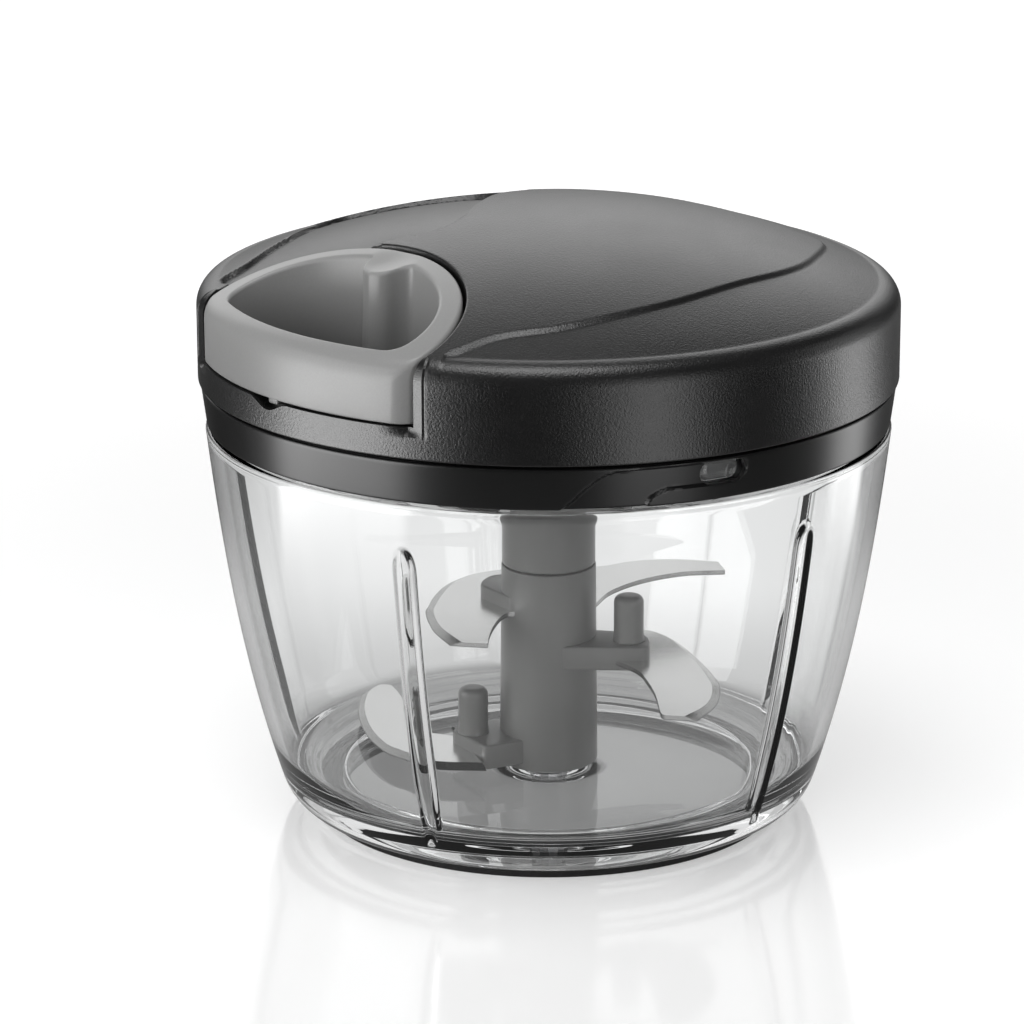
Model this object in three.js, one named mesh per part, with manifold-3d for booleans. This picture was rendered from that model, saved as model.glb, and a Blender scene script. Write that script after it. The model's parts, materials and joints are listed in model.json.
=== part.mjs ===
// A pull-string food chopper in millimetres, +Z up.
// The origin is the middle of the foot, on the surface that the bowl stands on.
// The bowl has five grooves in its wall, three lugs at its rim and a steel pin that carries the blades.
// The lid holds a cord spool with its rewind spring, a one-way clutch, the drive tube and the pull handle.
import * as THREE from "three";
import { mergeVertices } from "three/addons/utils/BufferGeometryUtils.js";
import Module from "manifold-3d";

const wasm = await Module();
wasm.setup();

// Facet counts of round forms
const shellSteps = 44;
const turnedSteps = 24;
const smallSteps = 12;
const cornerSteps = 4;
const domeSteps = 7;
const curveSteps = 12;

// Clearances shared by all pieces
const fitGap = 0.3;
const handleGap = 0.7;
const seamGap = 0.6;
const cutOverrun = 2;
const weldDistance = 0.0001;

// Bowl
const bowlShoulderRadius = 69.9;
const bowlShoulderHeight = 81.6;
const bowlFootShare = 0.6867;
const bowlFootRadius = bowlShoulderRadius * bowlFootShare;
const bowlCornerRadius = 8;
const bowlStandHeight = 1.4;
const bowlWall = 2.4;
const bowlFloorTop = 8.4;
const bowlFloorThickness = 2.4;
const bowlFootRimWidth = 5;
const bowlCornerEndTurnShare = -16 / 360;
const bowlInnerCornerReach = 5.2;
const bowlInnerCornerRadius = bowlFootRadius + bowlInnerCornerReach;
const bowlNeckInset = 2.7;
const bowlNeckRadius = bowlShoulderRadius - bowlNeckInset;
const bowlNeckWall = 2;
const bowlNeckHeight = 9.6;
const bowlRimHeight = bowlShoulderHeight + bowlNeckHeight;
const bowlLedgeHeight = 0.7;
const floorStepRadius = bowlFootRadius;
const floorStepWidth = 1.9;
const floorStepRise = 1;
const floorStepCount = 2;
// Height and radius of the side, as shares of the shoulder's height and radius
const bowlSideShares = [
  [0.184, 0.8298], [0.27, 0.8569], [0.368, 0.8863], [0.466, 0.912], [0.576, 0.9363],
  [0.735, 0.963], [0.882, 0.9835], [1, 1],
];

// Grooves in the bowl's wall
const grooveCount = 5;
const grooveTurnShare = -42.5 / 360;
const grooveHalfWidth = 1.7;
const grooveFootHeight = 7;
const grooveTopDrop = 15.6;
const grooveTopHeight = bowlShoulderHeight - grooveTopDrop;
const grooveRunOutHeight = 8;
// Radii of the groove's bottom, as shares of the shoulder's radius
const grooveFootShare = 0.7811;
const grooveTopShare = 0.8898;
const grooveFootRadius = bowlShoulderRadius * grooveFootShare;
const grooveTopRadius = bowlShoulderRadius * grooveTopShare;
const grooveRunOutReach = 1.1;
const grooveRunOutRadius = bowlShoulderRadius + grooveRunOutReach;
// Height and outward travel of the groove's run-out at its top, as shares of the run-out
const grooveRunOutShares = [[0.3, 0.06], [0.6, 0.24], [0.82, 0.55], [1, 1]];

// Lugs at the rim and the channels that take them
const lugCount = 3;
const lugTurnShare = -61.5 / 360;
const lugWidth = 9;
const lugHeight = 4.4;
const lugDrop = 2.8;
const lugMiddleHeight = bowlRimHeight - lugDrop;
const lugReach = 1.8;
const lugRadius = bowlNeckRadius + lugReach;
const channelGap = 0.3;
const unlockTurnShare = 19 / 360;
const channelEntryWidth = 16;

// Foot ring
const footRingInset = 1.3;
const footRingOuter = bowlFootRadius - footRingInset;
const footRingWidth = 4.4;
const footRibWidth = 1;
const footRibRise = 1.3;
const footRibInset = 1.1;

// Pin in the bowl's floor
const pinRadius = 2.5;
const pinTop = 26;
const pinSocketFloor = 3.2;
const pinBossRadius = 6;
const pinBossFoot = 2.4;

// Blade spindle
const spindleFootRadius = 10.2;
const spindleTopRadius = 9.8;
const spindleTop = 51.2;
const spindleBoreRadius = 4.3;
const spindleBoreTop = 28;
const driveStemRadius = 6;
const driveStemHeight = 18.8;
const driveStemTop = spindleTop + driveStemHeight;
const driveFinRadius = 7.9;
const driveFinTurnShare = 24 / 360;
const armRise = 3.3;
const armDrop = 1.8;
const bushWall = 1.2;
const pegRadius = 3.1;
const pegHeight = 9.8;
const pegShankRadius = 1.8;

// Blades
const bladeThickness = 1;
const bladeEdgeThickness = 0.2;
const bladeBevel = 2.4;
const bladeBevelEaseSteps = 3;
const bladeRootRadius = 7.3;
const bladeHoleRadius = 5;
const bladePegHoleRadius = 2.1;
const upperBladeDrop = 9;
const upperBladeHeight = spindleTop - upperBladeDrop;
const middleBladeHeight = 32.7;
const lowerBladeHeight = 12;
// The blades' outlines are shares of this reach, which leaves them free of the floor's corner
const bladeReach = bowlInnerCornerRadius;

// Drive tube in the lid
const tubeRadius = 9.7;
const socketRadius = 8.4;
const socketRibRadius = 6.5;
const socketSpare = 2;
const socketTop = driveStemTop + socketSpare;
const socketPlayShare = 70 / 360;
const hubFlangeRadius = 14;
const hubFlangeThickness = 2;
const hubCollarRadius = 7.5;
const hubCollarFlat = 6.2;
const hubCollarHeight = 4.1;

// Lid base
const lidSkirtRaise = 1.4;
const lidSkirtOverRim = 0.2;
const lidSkirtBottom = bowlShoulderHeight + lidSkirtRaise;
const lidSkirtTop = bowlRimHeight + lidSkirtOverRim;
const lidSkirtInset = 0.1;
const lidSkirtFlare = 1.1;
const lidSkirtGap = 0.6;
const lidSkirtBottomRadius = bowlShoulderRadius - lidSkirtInset;
const lidSkirtTopRadius = lidSkirtBottomRadius + lidSkirtFlare;
const lidSkirtInner = bowlNeckRadius + lidSkirtGap;
const lidSkirtRounding = 0.8;
const lidFloorRaise = 1.8;
const lidFloorThickness = 2.2;
const lidFloorBottom = bowlRimHeight + lidFloorRaise;
const lidFloorTop = lidFloorBottom + lidFloorThickness;
const lidBossRadius = 15;
const lidBossDrop = 7;
const lidBossBottom = lidFloorBottom - lidBossDrop;
const hubBushWall = 1.9;
const hubBushHeight = 4.6;
const hubSealHeight = 2.3;
const washerThickness = 0.6;

// Rim gasket
const gasketThickness = 1.2;
const gasketLipWall = 1.5;
const gasketLipDrop = 2.8;

// Lid cover
const coverOverhang = 0.5;
const coverRadius = lidSkirtTopRadius + coverOverhang;
const coverRise = 33.9;
const coverTop = lidSkirtTop + coverRise;
const coverDomeRise = 12.8;
const coverShoulderHeight = coverTop - coverDomeRise;
const coverFilletRadius = 8.05;
const coverWall = 2.2;
const coverSideDrop = 7.4;
const coverSideFoot = coverShoulderHeight - coverSideDrop;
// How much of the dome's fall follows the fourth power of the radius, not the square
const domeFlatShare = 0.09;
const leafRise = 0.4;
const scoopDrop = 0.9;
// Outline of the raised leaf on the dome, in plan, as shares of the cover's radius
const leafShares = [
  [-0.47, -0.18], [-0.33, -0.137], [-0.254, -0.04], [-0.203, 0.165], [-0.15, 0.343], [-0.066, 0.455],
  [0.11, 0.51], [0.31, 0.46], [0.5, 0.36], [0.69, 0.27], [0.79, 0.17], [0.746, -0.09], [0.67, -0.27],
  [0.53, -0.445], [0.328, -0.644], [0.067, -0.793], [-0.137, -0.84], [-0.263, -0.895], [-0.345, -0.9],
];
// Outline of the scoop beside the handle, the same way
const scoopShares = [
  [-0.42, -0.16], [-0.33, -0.137], [-0.254, -0.04], [-0.203, 0.165], [-0.15, 0.343], [-0.066, 0.455],
  [-0.21, 0.545], [-0.42, 0.532], [-0.632, 0.478], [-0.77, 0.21], [-0.855, 0.03], [-0.93, -0.07],
  [-0.8, -0.2],
];

// Bay for the handle, in a frame whose +X points the way the handle is pulled
const pullTurnShare = 220 / 360;
const handleBack = 34;
const handleHalfWidth = 33.2;
const handleInset = 0.4;
const handleOuterRadius = coverRadius - handleInset;
const handleRaise = 7.1;
const handleBottom = lidSkirtTop + handleRaise;
const handleSideWall = 6;
const handleBackWall = 4.3;
const handleFaceWall = 4.2;
const handleCornerRadius = 6;
const handleOpeningCorner = 5;
const bayFloorThickness = 2.6;
const bayFloorDrop = 0.3;
const notchHalfWidth = 6.2;
const notchDepth = 1.9;
const notchReach = 7;
const tabHalfWidth = 1.5;
const tabLength = 3.4;
const tabDrop = 1.4;
const handleBossRadius = 5.2;
const handlePocketRadius = 3;
const handlePocketDepth = 13.5;
const handlePocketTop = handleBottom + handlePocketDepth;
const handlePlugThickness = 2.4;

// Cord
const cordRadius = 1;
const cordPitch = 2.5;
const cordTurns = 2.1;
const cordStraight = 2;
const cordTurnSteps = 24;
const cordSides = 6;
const cordRise = 10;
const cordRunHeight = handleBottom + cordRise;
const cordCornerInset = 2.5;
const cordCornerReach = 2.1;
const knotRadius = 2.3;
const eyeletBoreRadius = 1.4;
const eyeletRadius = 2.3;
const eyeletFlangeRadius = 3.6;
const eyeletFlangeThickness = 0.7;

// Spool, clutch and spring
const drumRadius = 22.5;
const drumWall = 2;
const spoolFlangeRadius = 27;
const spoolFlangeThickness = 1.2;
const spoolRaise = 3.5;
const spoolHeight = 12.9;
const spoolWebRaise = 4;
const spoolBottom = lidFloorTop + spoolRaise;
const spoolTop = spoolBottom + spoolHeight;
const spoolWebBottom = spoolBottom + spoolWebRaise;
const spoolWebThickness = 2.4;
const ratchetTipRadius = 14.2;
const ratchetRootRadius = 12.2;
const ratchetTeeth = 12;
const ratchetThickness = 3.4;
const clutchRingWall = 1.8;
const clutchFingers = 3;
const clutchFingerTurnShare = 52 / 360;
const clutchFingerWall = 1.2;
const springStrip = 0.5;
const springTurns = 5.5;
const springTurnSteps = 16;
const springWidth = 4.8;
const springCoverThickness = 1;
const springCoverRadius = 24;
const springCoverLip = 1.2;

// Axle and its bridge
const axleRadius = 2.5;
const axleTipDrop = 4.2;
const axleTip = lidFloorTop - axleTipDrop;
const arborRadius = 4;
const bridgeRaise = 1.9;
const bridgeBottom = spoolTop + bridgeRaise;
const bridgeThickness = 2;
const bridgeHubRadius = 9;
const bridgeArmHalfWidth = 3.4;
const postCircle = 34.5;
const postRadius = 3.4;
const postTurnShares = [40 / 360, 140 / 360, 300 / 360];
const axleNutRadius = 4.4;
const axleNutThickness = 2.2;
const nutSides = 6;

// Screws
const screwRadius = 1.25;
const screwHeadRadius = 2.9;
const screwHeadThickness = 1.1;
const screwLength = 9;
const screwSlotWidth = 0.8;
const screwSlotDepth = 0.5;
const coverScrewInset = 14.4;
const coverScrewCircle = coverRadius - coverScrewInset;
const coverScrewTurnShares = [30 / 360, 110 / 360, 310 / 360];
const coverBossRadius = 3.4;

const fullTurn = 2 * Math.PI;
const pullAngle = pullTurnShare * fullTurn;

// Turns a closed three.js geometry into a solid, facing outwards
function solid(geometry) {
  const bare = geometry.index ? geometry.toNonIndexed() : geometry.clone();
  bare.deleteAttribute("normal");
  bare.deleteAttribute("uv");
  const merged = mergeVertices(bare, weldDistance);
  const point = merged.attributes.position.array;
  const index = merged.index.array;
  const corner = (i) => new THREE.Vector3().fromArray(point, 3 * i);
  const kept = [];
  let volume = 0;
  for (let i = 0; i < index.length; i += 3) {
    const [a, b, c] = [index[i], index[i + 1], index[i + 2]];
    if (a === b || b === c || c === a) continue;
    kept.push(a, b, c);
    volume += corner(a).dot(corner(b).cross(corner(c)));
  }
  if (volume < 0) kept.reverse();
  const mesh = new wasm.Mesh({
    numProp: 3, vertProperties: Float32Array.from(point), triVerts: Uint32Array.from(kept),
  });
  return new wasm.Manifold(mesh);
}

// A solid turned about Z from [radius, height] points that start and end on the axis or close on themselves
function turned(points, steps = turnedSteps) {
  const profile = points.map(([r, z]) => new THREE.Vector2(r, z));
  return solid(new THREE.LatheGeometry(profile, steps).rotateX(Math.PI / 2));
}

function disc(radius, bottom, top, steps = turnedSteps) {
  return turned([[0, bottom], [radius, bottom], [radius, top], [0, top]], steps);
}

function ring(inner, outer, bottom, top, steps = turnedSteps) {
  const corners = [[inner, bottom], [outer, bottom], [outer, top], [inner, top], [inner, bottom]];
  return turned(corners, steps);
}

// A flat outline of [x, y] points raised from one height to another
function raised(outline, bottom, top) {
  const shape = new THREE.Shape(outline.map(([x, y]) => new THREE.Vector2(x, y)));
  const geometry = new THREE.ExtrudeGeometry(shape, { depth: top - bottom, bevelEnabled: false });
  return solid(geometry.translate(0, 0, bottom));
}

// A part of a ring between two angles
function ringPart(inner, outer, from, to, bottom, top) {
  const steps = Math.max(2, Math.ceil((to - from) / fullTurn * shellSteps));
  return raised([...arc(0, 0, outer, from, to, steps), ...arc(0, 0, inner, to, from, steps)], bottom, top);
}

function arc(x, y, radius, from, to, steps = cornerSteps) {
  return Array.from({ length: steps + 1 }, (_, i) => {
    const angle = from + (to - from) * i / steps;
    return [x + radius * Math.cos(angle), y + radius * Math.sin(angle)];
  });
}

// A solid through closed sections with the same number of points each, with flat caps
function lofted(drawn) {
  const asDrawn = drawn[0].map(([x, y]) => new THREE.Vector2(x, y));
  const clockwise = THREE.ShapeUtils.isClockWise(asDrawn);
  const sections = drawn.map((section) => (clockwise ? [...section].reverse() : section));
  const count = sections[0].length;
  const flat = clockwise ? asDrawn.reverse() : asDrawn;
  const cap = THREE.ShapeUtils.triangulateShape(flat, []);
  const index = [];
  for (let s = 0; s + 1 < sections.length; s += 1) {
    for (let i = 0; i < count; i += 1) {
      const [a, b] = [s * count + i, s * count + (i + 1) % count];
      index.push(a, b, b + count, a, b + count, a + count);
    }
  }
  const last = (sections.length - 1) * count;
  cap.forEach(([a, b, c]) => index.push(c, b, a, last + a, last + b, last + c));
  const geometry = new THREE.BufferGeometry();
  geometry.setAttribute("position", new THREE.Float32BufferAttribute(sections.flat(2), 3));
  geometry.setIndex(index);
  return solid(geometry);
}

// Moves each corner of a closed outline outwards, along the middle of its two sides' normals
function grown(outline, by) {
  const turn = Math.sign(THREE.ShapeUtils.area(outline.map(([x, y]) => new THREE.Vector2(x, y))));
  return outline.map((here, i) => {
    const before = outline[(i + outline.length - 1) % outline.length];
    const after = outline[(i + 1) % outline.length];
    const along = new THREE.Vector2(after[0] - before[0], after[1] - before[1]).normalize();
    return [here[0] + along.y * by * turn, here[1] - along.x * by * turn];
  });
}

function spline(points, steps = curveSteps) {
  const curve = new THREE.SplineCurve(points.map(([x, y]) => new THREE.Vector2(x, y)));
  return curve.getPoints(steps).map((p) => [p.x, p.y]);
}

function turnedBy(body, angle) {
  return body.rotate([0, 0, THREE.MathUtils.radToDeg(angle)]);
}

function aroundPull(body) {
  return turnedBy(body, pullAngle);
}

// The corners of a regular polygon about the axis
function polygon(radius, sides) {
  return Array.from({ length: sides }, (_, i) => polar(radius, fullTurn * i / sides));
}

function polar(radius, angle) {
  return [radius * Math.cos(angle), radius * Math.sin(angle)];
}

function atCircle(radius, angle) {
  return [...polar(radius, angle), 0];
}

// Each node is a mesh of its own, with its own material
const chopper = new THREE.Group();

function add(name, body, colour, roughness, metalness = 0) {
  const mesh = body.getMesh();
  const geometry = new THREE.BufferGeometry();
  geometry.setAttribute("position", new THREE.Float32BufferAttribute(mesh.vertProperties, mesh.numProp));
  geometry.setIndex(Array.from(mesh.triVerts));
  geometry.computeVertexNormals();
  const material = new THREE.MeshStandardMaterial({ color: colour, roughness, metalness });
  const node = new THREE.Mesh(geometry, material);
  node.name = name;
  chopper.add(node);
}

const clearPlastic = 0xe8ecec;
const blackPlastic = 0x1c1c1d;
const greyPlastic = 0x6f6f6f;
const handlePlastic = 0x9b9b9a;
const steel = 0xc9cacb;
const rubber = 0x161616;
const cordColour = 0xd9d9d4;
const whitePlastic = 0xd8d8d6;

// Bowl: the outer form less a cavity, each with its own set of groove forms
function bowlSide(inset, widest, shares = bowlSideShares) {
  return shares.map(([heightShare, radiusShare]) => {
    const radius = Math.min(radiusShare * bowlShoulderRadius - inset, widest);
    return [radius, heightShare * bowlShoulderHeight];
  });
}

function bowlCorner(inset, bottom) {
  const middle = bowlStandHeight + bowlCornerRadius;
  const start = -Math.asin(Math.min(1, (middle - bottom) / (bowlCornerRadius - inset)));
  return arc(bowlFootRadius, middle, bowlCornerRadius - inset, start, bowlCornerEndTurnShare * fullTurn);
}

// One groove form: a rounded slot whose crest leans outwards and runs out of the wall at its top
function grooveForm(grow) {
  const leanHeights = [grooveFootHeight, grooveTopHeight];
  const leanRadii = [grooveFootRadius, grooveTopRadius];
  const runOut = grooveRunOutShares.map(([heightShare, radiusShare]) => [
    grooveTopHeight + heightShare * grooveRunOutHeight,
    grooveTopRadius + radiusShare * (grooveRunOutRadius - grooveTopRadius),
  ]);
  const stations = [...leanHeights.map((height, i) => [height, leanRadii[i]]), ...runOut];
  const halfWidth = grooveHalfWidth + grow;
  const back = bowlShoulderRadius + halfWidth + cutOverrun + grow;
  const sections = stations.map(([height, crest], i) => {
    const lift = i === 0 ? -grow : i === stations.length - 1 ? grow : 0;
    const middle = crest - grow + halfWidth;
    const nose = arc(middle, 0, halfWidth, fullTurn / 4, 3 * fullTurn / 4);
    return [[back + halfWidth, halfWidth], ...nose, [back + halfWidth, -halfWidth]]
      .map(([x, y]) => [x, y, height + lift]);
  });
  return lofted(sections);
}

function grooveForms(grow) {
  const form = grooveForm(grow);
  const copies = Array.from({ length: grooveCount }, (_, i) =>
    turnedBy(form, fullTurn * (grooveTurnShare + i / grooveCount)));
  return copies.reduce((all, one) => all.add(one));
}

function lug() {
  const half = lugHeight / 2;
  const side = lugWidth / 2 - half;
  const outline = [
    ...arc(side, 0, half, -fullTurn / 4, fullTurn / 4),
    ...arc(-side, 0, half, fullTurn / 4, 3 * fullTurn / 4),
  ];
  const depth = lugRadius - bowlNeckRadius + bowlNeckWall / 2;
  return raised(outline, 0, depth)
    .rotate([90, 0, 90])
    .translate([bowlNeckRadius - bowlNeckWall / 2, 0, lugMiddleHeight]);
}

function around(count, turnShare, body) {
  const copies = Array.from({ length: count }, (_, i) => turnedBy(body, fullTurn * (turnShare + i / count)));
  return copies.reduce((all, one) => all.add(one));
}

const bowlUnderside = bowlFloorTop - bowlFloorThickness;
const footInner = bowlFootRadius - bowlFootRimWidth;
const footRibInner = footRingOuter - footRibInset - footRibWidth;
const neckInner = bowlNeckRadius - bowlNeckWall;

function bowlBody() {
  const outside = turned([
    [0, bowlUnderside], [footInner, bowlUnderside], [footInner, bowlStandHeight],
    ...bowlCorner(0, bowlStandHeight), ...bowlSide(0, bowlShoulderRadius),
    [bowlNeckRadius, bowlShoulderHeight + bowlLedgeHeight], [bowlNeckRadius, bowlRimHeight], [0, bowlRimHeight],
  ], shellSteps);
  const steps = Array.from({ length: floorStepCount }, (_, i) => [
    [floorStepRadius + i * floorStepWidth, bowlFloorTop + i * floorStepRise],
    [floorStepRadius + i * floorStepWidth + floorStepRise, bowlFloorTop + (i + 1) * floorStepRise],
  ]).flat();
  const innerCorner = [bowlInnerCornerRadius, bowlFloorTop + floorStepCount * floorStepRise];
  const insideShares = bowlSideShares.filter((_, i) => i % 2 === 0);
  const inside = turned([
    [0, bowlFloorTop], ...steps, innerCorner, ...bowlSide(bowlWall, neckInner, insideShares),
    [neckInner, bowlRimHeight + cutOverrun], [0, bowlRimHeight + cutOverrun],
  ], shellSteps);
  const cavity = inside.subtract(grooveForms(bowlWall));
  const boss = disc(pinBossRadius, pinBossFoot, bowlUnderside + weldDistance);
  const socket = disc(pinRadius + fitGap, pinSocketFloor, bowlFloorTop + cutOverrun, smallSteps);
  const ribGroove = ring(
    footRibInner - fitGap, footRibInner + footRibWidth + fitGap,
    bowlStandHeight - cutOverrun, bowlStandHeight + footRibRise + fitGap, shellSteps);
  return outside.subtract(grooveForms(0)).add(boss).add(around(lugCount, lugTurnShare, lug()))
    .subtract(cavity).subtract(socket).subtract(ribGroove);
}

add("bowl", bowlBody(), clearPlastic, 0.05);

function footRing() {
  const top = bowlStandHeight - fitGap;
  const inner = footRingOuter - footRingWidth;
  const ribOuter = footRibInner + footRibWidth;
  return turned([
    [inner, 0], [footRingOuter, 0], [footRingOuter, top], [ribOuter, top],
    [ribOuter, bowlStandHeight + footRibRise], [footRibInner, bowlStandHeight + footRibRise],
    [footRibInner, top], [inner, top], [inner, 0],
  ], shellSteps);
}

add("foot_ring", footRing(), rubber, 0.8);

function pivotPin() {
  const dome = arc(0, pinTop - pinRadius, pinRadius, 0, fullTurn / 4);
  return turned([[0, pinSocketFloor + fitGap], [pinRadius, pinSocketFloor + fitGap], ...dome.slice(0, -1),
    [0, pinTop]], smallSteps);
}

add("pivot_pin", pivotPin(), steel, 0.25, 1);

// Blades: the outer edge runs from root to tip and is ground to a bevel, the inner edge runs back
// Places are shares of the blade's reach, drawn in plan from the spindle's axis
const upperOuterShares = [
  [-0.372, -0.488], [-0.447, -0.293], [-0.476, -0.122], [-0.472, -0.008], [-0.423, 0.212], [-0.363, 0.333],
  [-0.273, 0.423], [-0.12, 0.476], [0.06, 0.488], [0.2, 0.5], [0.325, 0.566], [0.492, 0.59], [0.675, 0.555],
];
const upperInnerShares = [
  [0.707, 0.402], [0.532, 0.378], [0.367, 0.28], [0.24, 0.13], [0.17, -0.1], [0.0, -0.185], [-0.125, -0.17],
  [-0.175, -0.166], [-0.209, -0.293], [-0.224, -0.404], [-0.229, -0.515],
];
const middleOuterShares = [
  [0.24, 0.21], [0.38, 0.233], [0.482, 0.131], [0.573, -0.108], [0.635, -0.343], [0.649, -0.477],
  [0.624, -0.663], [0.545, -0.838],
];
const middleInnerShares = [
  [0.427, -0.817], [0.414, -0.779], [0.401, -0.583], [0.374, -0.424], [0.34, -0.3], [0.25, -0.205],
];
const lowerOuterShares = [
  [-0.24, -0.31], [-0.44, -0.293], [-0.541, -0.207], [-0.617, -0.133], [-0.667, -0.053], [-0.714, 0.062],
  [-0.748, 0.195], [-0.771, 0.338], [-0.774, 0.457], [-0.767, 0.56], [-0.74, 0.636],
];
const lowerInnerShares = [
  [-0.671, 0.655], [-0.643, 0.624], [-0.613, 0.543], [-0.583, 0.417], [-0.564, 0.261], [-0.5, 0.1],
  [-0.36, 0.03],
];

function bladePlan(outerShares, innerShares) {
  const real = (shares) => shares.map(([x, y]) => [x * bladeReach, y * bladeReach]);
  return { outer: spline(real(outerShares), 2 * curveSteps), inner: spline(real(innerShares), curveSteps) };
}

// The blank lies flat below; its top face stops short of the outer edge, so that edge gets its bevel
function bladeBody(plan, height) {
  const { outer, inner } = plan;
  const outline = [...outer, ...inner];
  const back = grown(outline, -bladeBevel).slice(0, outer.length);
  const ease = (i) => Math.min(1, i / bladeBevelEaseSteps);
  const top = outer.map(([x, y], i) => {
    const share = ease(Math.min(i, outer.length - 1 - i));
    return [x + share * (back[i][0] - x), y + share * (back[i][1] - y)];
  });
  const at = (points, z) => points.map(([x, y]) => [x, y, z]);
  const bottom = height - bladeThickness / 2;
  return lofted([
    at(outline, bottom), at(outline, bottom + bladeEdgeThickness),
    at([...top, ...inner], bottom + bladeThickness),
  ]);
}

function bladeSlot(plan, height, grow = fitGap) {
  const half = bladeThickness / 2 + fitGap;
  return raised(grown([...plan.outer, ...plan.inner], grow), height - half, height + half);
}

const upperPlan = bladePlan(upperOuterShares, upperInnerShares);
const middlePlan = bladePlan(middleOuterShares, middleInnerShares);
const lowerPlan = bladePlan(lowerOuterShares, lowerInnerShares);
const bladeMargin = bladeThickness + fitGap;

// Arms of the spindle, drawn in plan as shares of the spindle's foot radius, and the pegs that stand on two of them
const upperArmShares = [
  [-0.3, 0.3], [-0.92, 1.02], [-1.2, 0.92], [-1.38, 0.56], [-1.4, 0.25], [-0.73, -0.66], [0, -0.5],
];
const middleArmShares = [
  [0, 0.3], [1, 0.18], [1.88, -0.02], [2.02, -0.25], [2.06, -0.72], [1.98, -1.02], [1.5, -0.98], [-0.2, -0.92],
];
const lowerArmShares = [
  [-0.3, 0.5], [-0.96, 0.55], [-1.91, 0.02], [-1.97, -0.2], [-1.28, -1.24], [-0.55, -0.88], [0, -0.5],
];
const middlePegShares = [1.62, -0.5];
const lowerPegShares = [-1.54, -0.3];

const spindleFoot = bowlFloorTop + fitGap;

function arm(shares, height) {
  const outline = shares.map(([x, y]) => [x * spindleFootRadius, y * spindleFootRadius]);
  return raised(outline, height - armDrop, height + armRise);
}

function pegPlace([x, y]) {
  return [x * spindleFootRadius, y * spindleFootRadius, 0];
}

function pegHole(shares, height) {
  const bottom = height - armDrop - cutOverrun;
  const hole = disc(pegShankRadius + fitGap, bottom, height + armRise + cutOverrun, smallSteps);
  return hole.translate(pegPlace(shares));
}

function spindleBody() {
  const stem = disc(driveStemRadius, spindleTop - cutOverrun, driveStemTop);
  const finHalf = driveFinTurnShare * fullTurn / 2;
  const finTop = driveStemTop - driveStemRadius / 2;
  const fin = ringPart(driveStemRadius - cutOverrun, driveFinRadius, -finHalf, finHalf,
    spindleTop - weldDistance, finTop);
  const core = turned([
    [0, spindleFoot], [spindleFootRadius, spindleFoot], [spindleTopRadius, spindleTop], [0, spindleTop],
  ], shellSteps / 2);
  const keeper = disc(bladeHoleRadius - fitGap,
    upperBladeHeight - bladeMargin, upperBladeHeight + bladeMargin);
  return core.add(arm(upperArmShares, upperBladeHeight))
    .add(arm(middleArmShares, middleBladeHeight))
    .add(arm(lowerArmShares, lowerBladeHeight))
    .subtract(bladeSlot(upperPlan, upperBladeHeight))
    .subtract(rootedSlot(middlePlan, middleBladeHeight))
    .subtract(rootedSlot(lowerPlan, lowerBladeHeight))
    .add(keeper)
    .subtract(pegHole(middlePegShares, middleBladeHeight))
    .subtract(pegHole(lowerPegShares, lowerBladeHeight))
    .add(stem).add(around(2, 0, fin))
    .subtract(disc(spindleBoreRadius, spindleFoot - cutOverrun, spindleBoreTop));
}

function rootedSlot(plan, height) {
  const root = disc(bladeRootRadius - fitGap, height - bladeMargin, height + bladeMargin);
  return bladeSlot(plan, height).subtract(root);
}

add("blade_spindle", spindleBody(), greyPlastic, 0.45);

function spindleBush() {
  const outer = spindleBoreRadius - fitGap;
  return ring(outer - bushWall, outer, spindleFoot + fitGap, spindleBoreTop - fitGap, smallSteps);
}

add("spindle_bush", spindleBush(), whitePlastic, 0.5);

function cutBlade(plan, height, pegShares) {
  const span = [height - bladeMargin, height + bladeMargin];
  const blank = bladeBody(plan, height);
  if (!pegShares) return blank.subtract(disc(bladeHoleRadius, ...span));
  const hole = disc(bladePegHoleRadius, ...span, smallSteps).translate(pegPlace(pegShares));
  return blank.subtract(disc(bladeRootRadius, ...span)).subtract(hole);
}

add("upper_blade", cutBlade(upperPlan, upperBladeHeight), steel, 0.2, 1);
add("middle_blade", cutBlade(middlePlan, middleBladeHeight, middlePegShares), steel, 0.2, 1);
add("lower_blade", cutBlade(lowerPlan, lowerBladeHeight, lowerPegShares), steel, 0.2, 1);

// A peg: a thin shank through the arm and the blade, and a round-topped post above
function peg(shares, height) {
  const seat = height + armRise + fitGap;
  const top = seat + pegHeight;
  const rounding = pegRadius / 2;
  const dome = arc(pegRadius - rounding, top - rounding, rounding, 0, fullTurn / 4);
  const body = turned([
    [0, height - armDrop], [pegShankRadius, height - armDrop], [pegShankRadius, seat], [pegRadius, seat],
    ...dome, [0, top],
  ], smallSteps);
  return body.translate(pegPlace(shares));
}

add("middle_blade_peg", peg(middlePegShares, middleBladeHeight), greyPlastic, 0.45);
add("lower_blade_peg", peg(lowerPegShares, lowerBladeHeight), greyPlastic, 0.45);

// Rim gasket: a flat ring on the rim with a lip down inside the neck
function gasket() {
  const bottom = bowlRimHeight + fitGap;
  const lipOuter = neckInner - fitGap;
  const lipInner = lipOuter - gasketLipWall;
  return turned([
    [lipInner, bottom - gasketLipDrop], [lipOuter, bottom - gasketLipDrop], [lipOuter, bottom],
    [bowlNeckRadius, bottom], [bowlNeckRadius, bottom + gasketThickness], [lipInner, bottom + gasketThickness],
    [lipInner, bottom - gasketLipDrop],
  ], shellSteps);
}

add("rim_gasket", gasket(), whitePlastic, 0.6);

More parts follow.
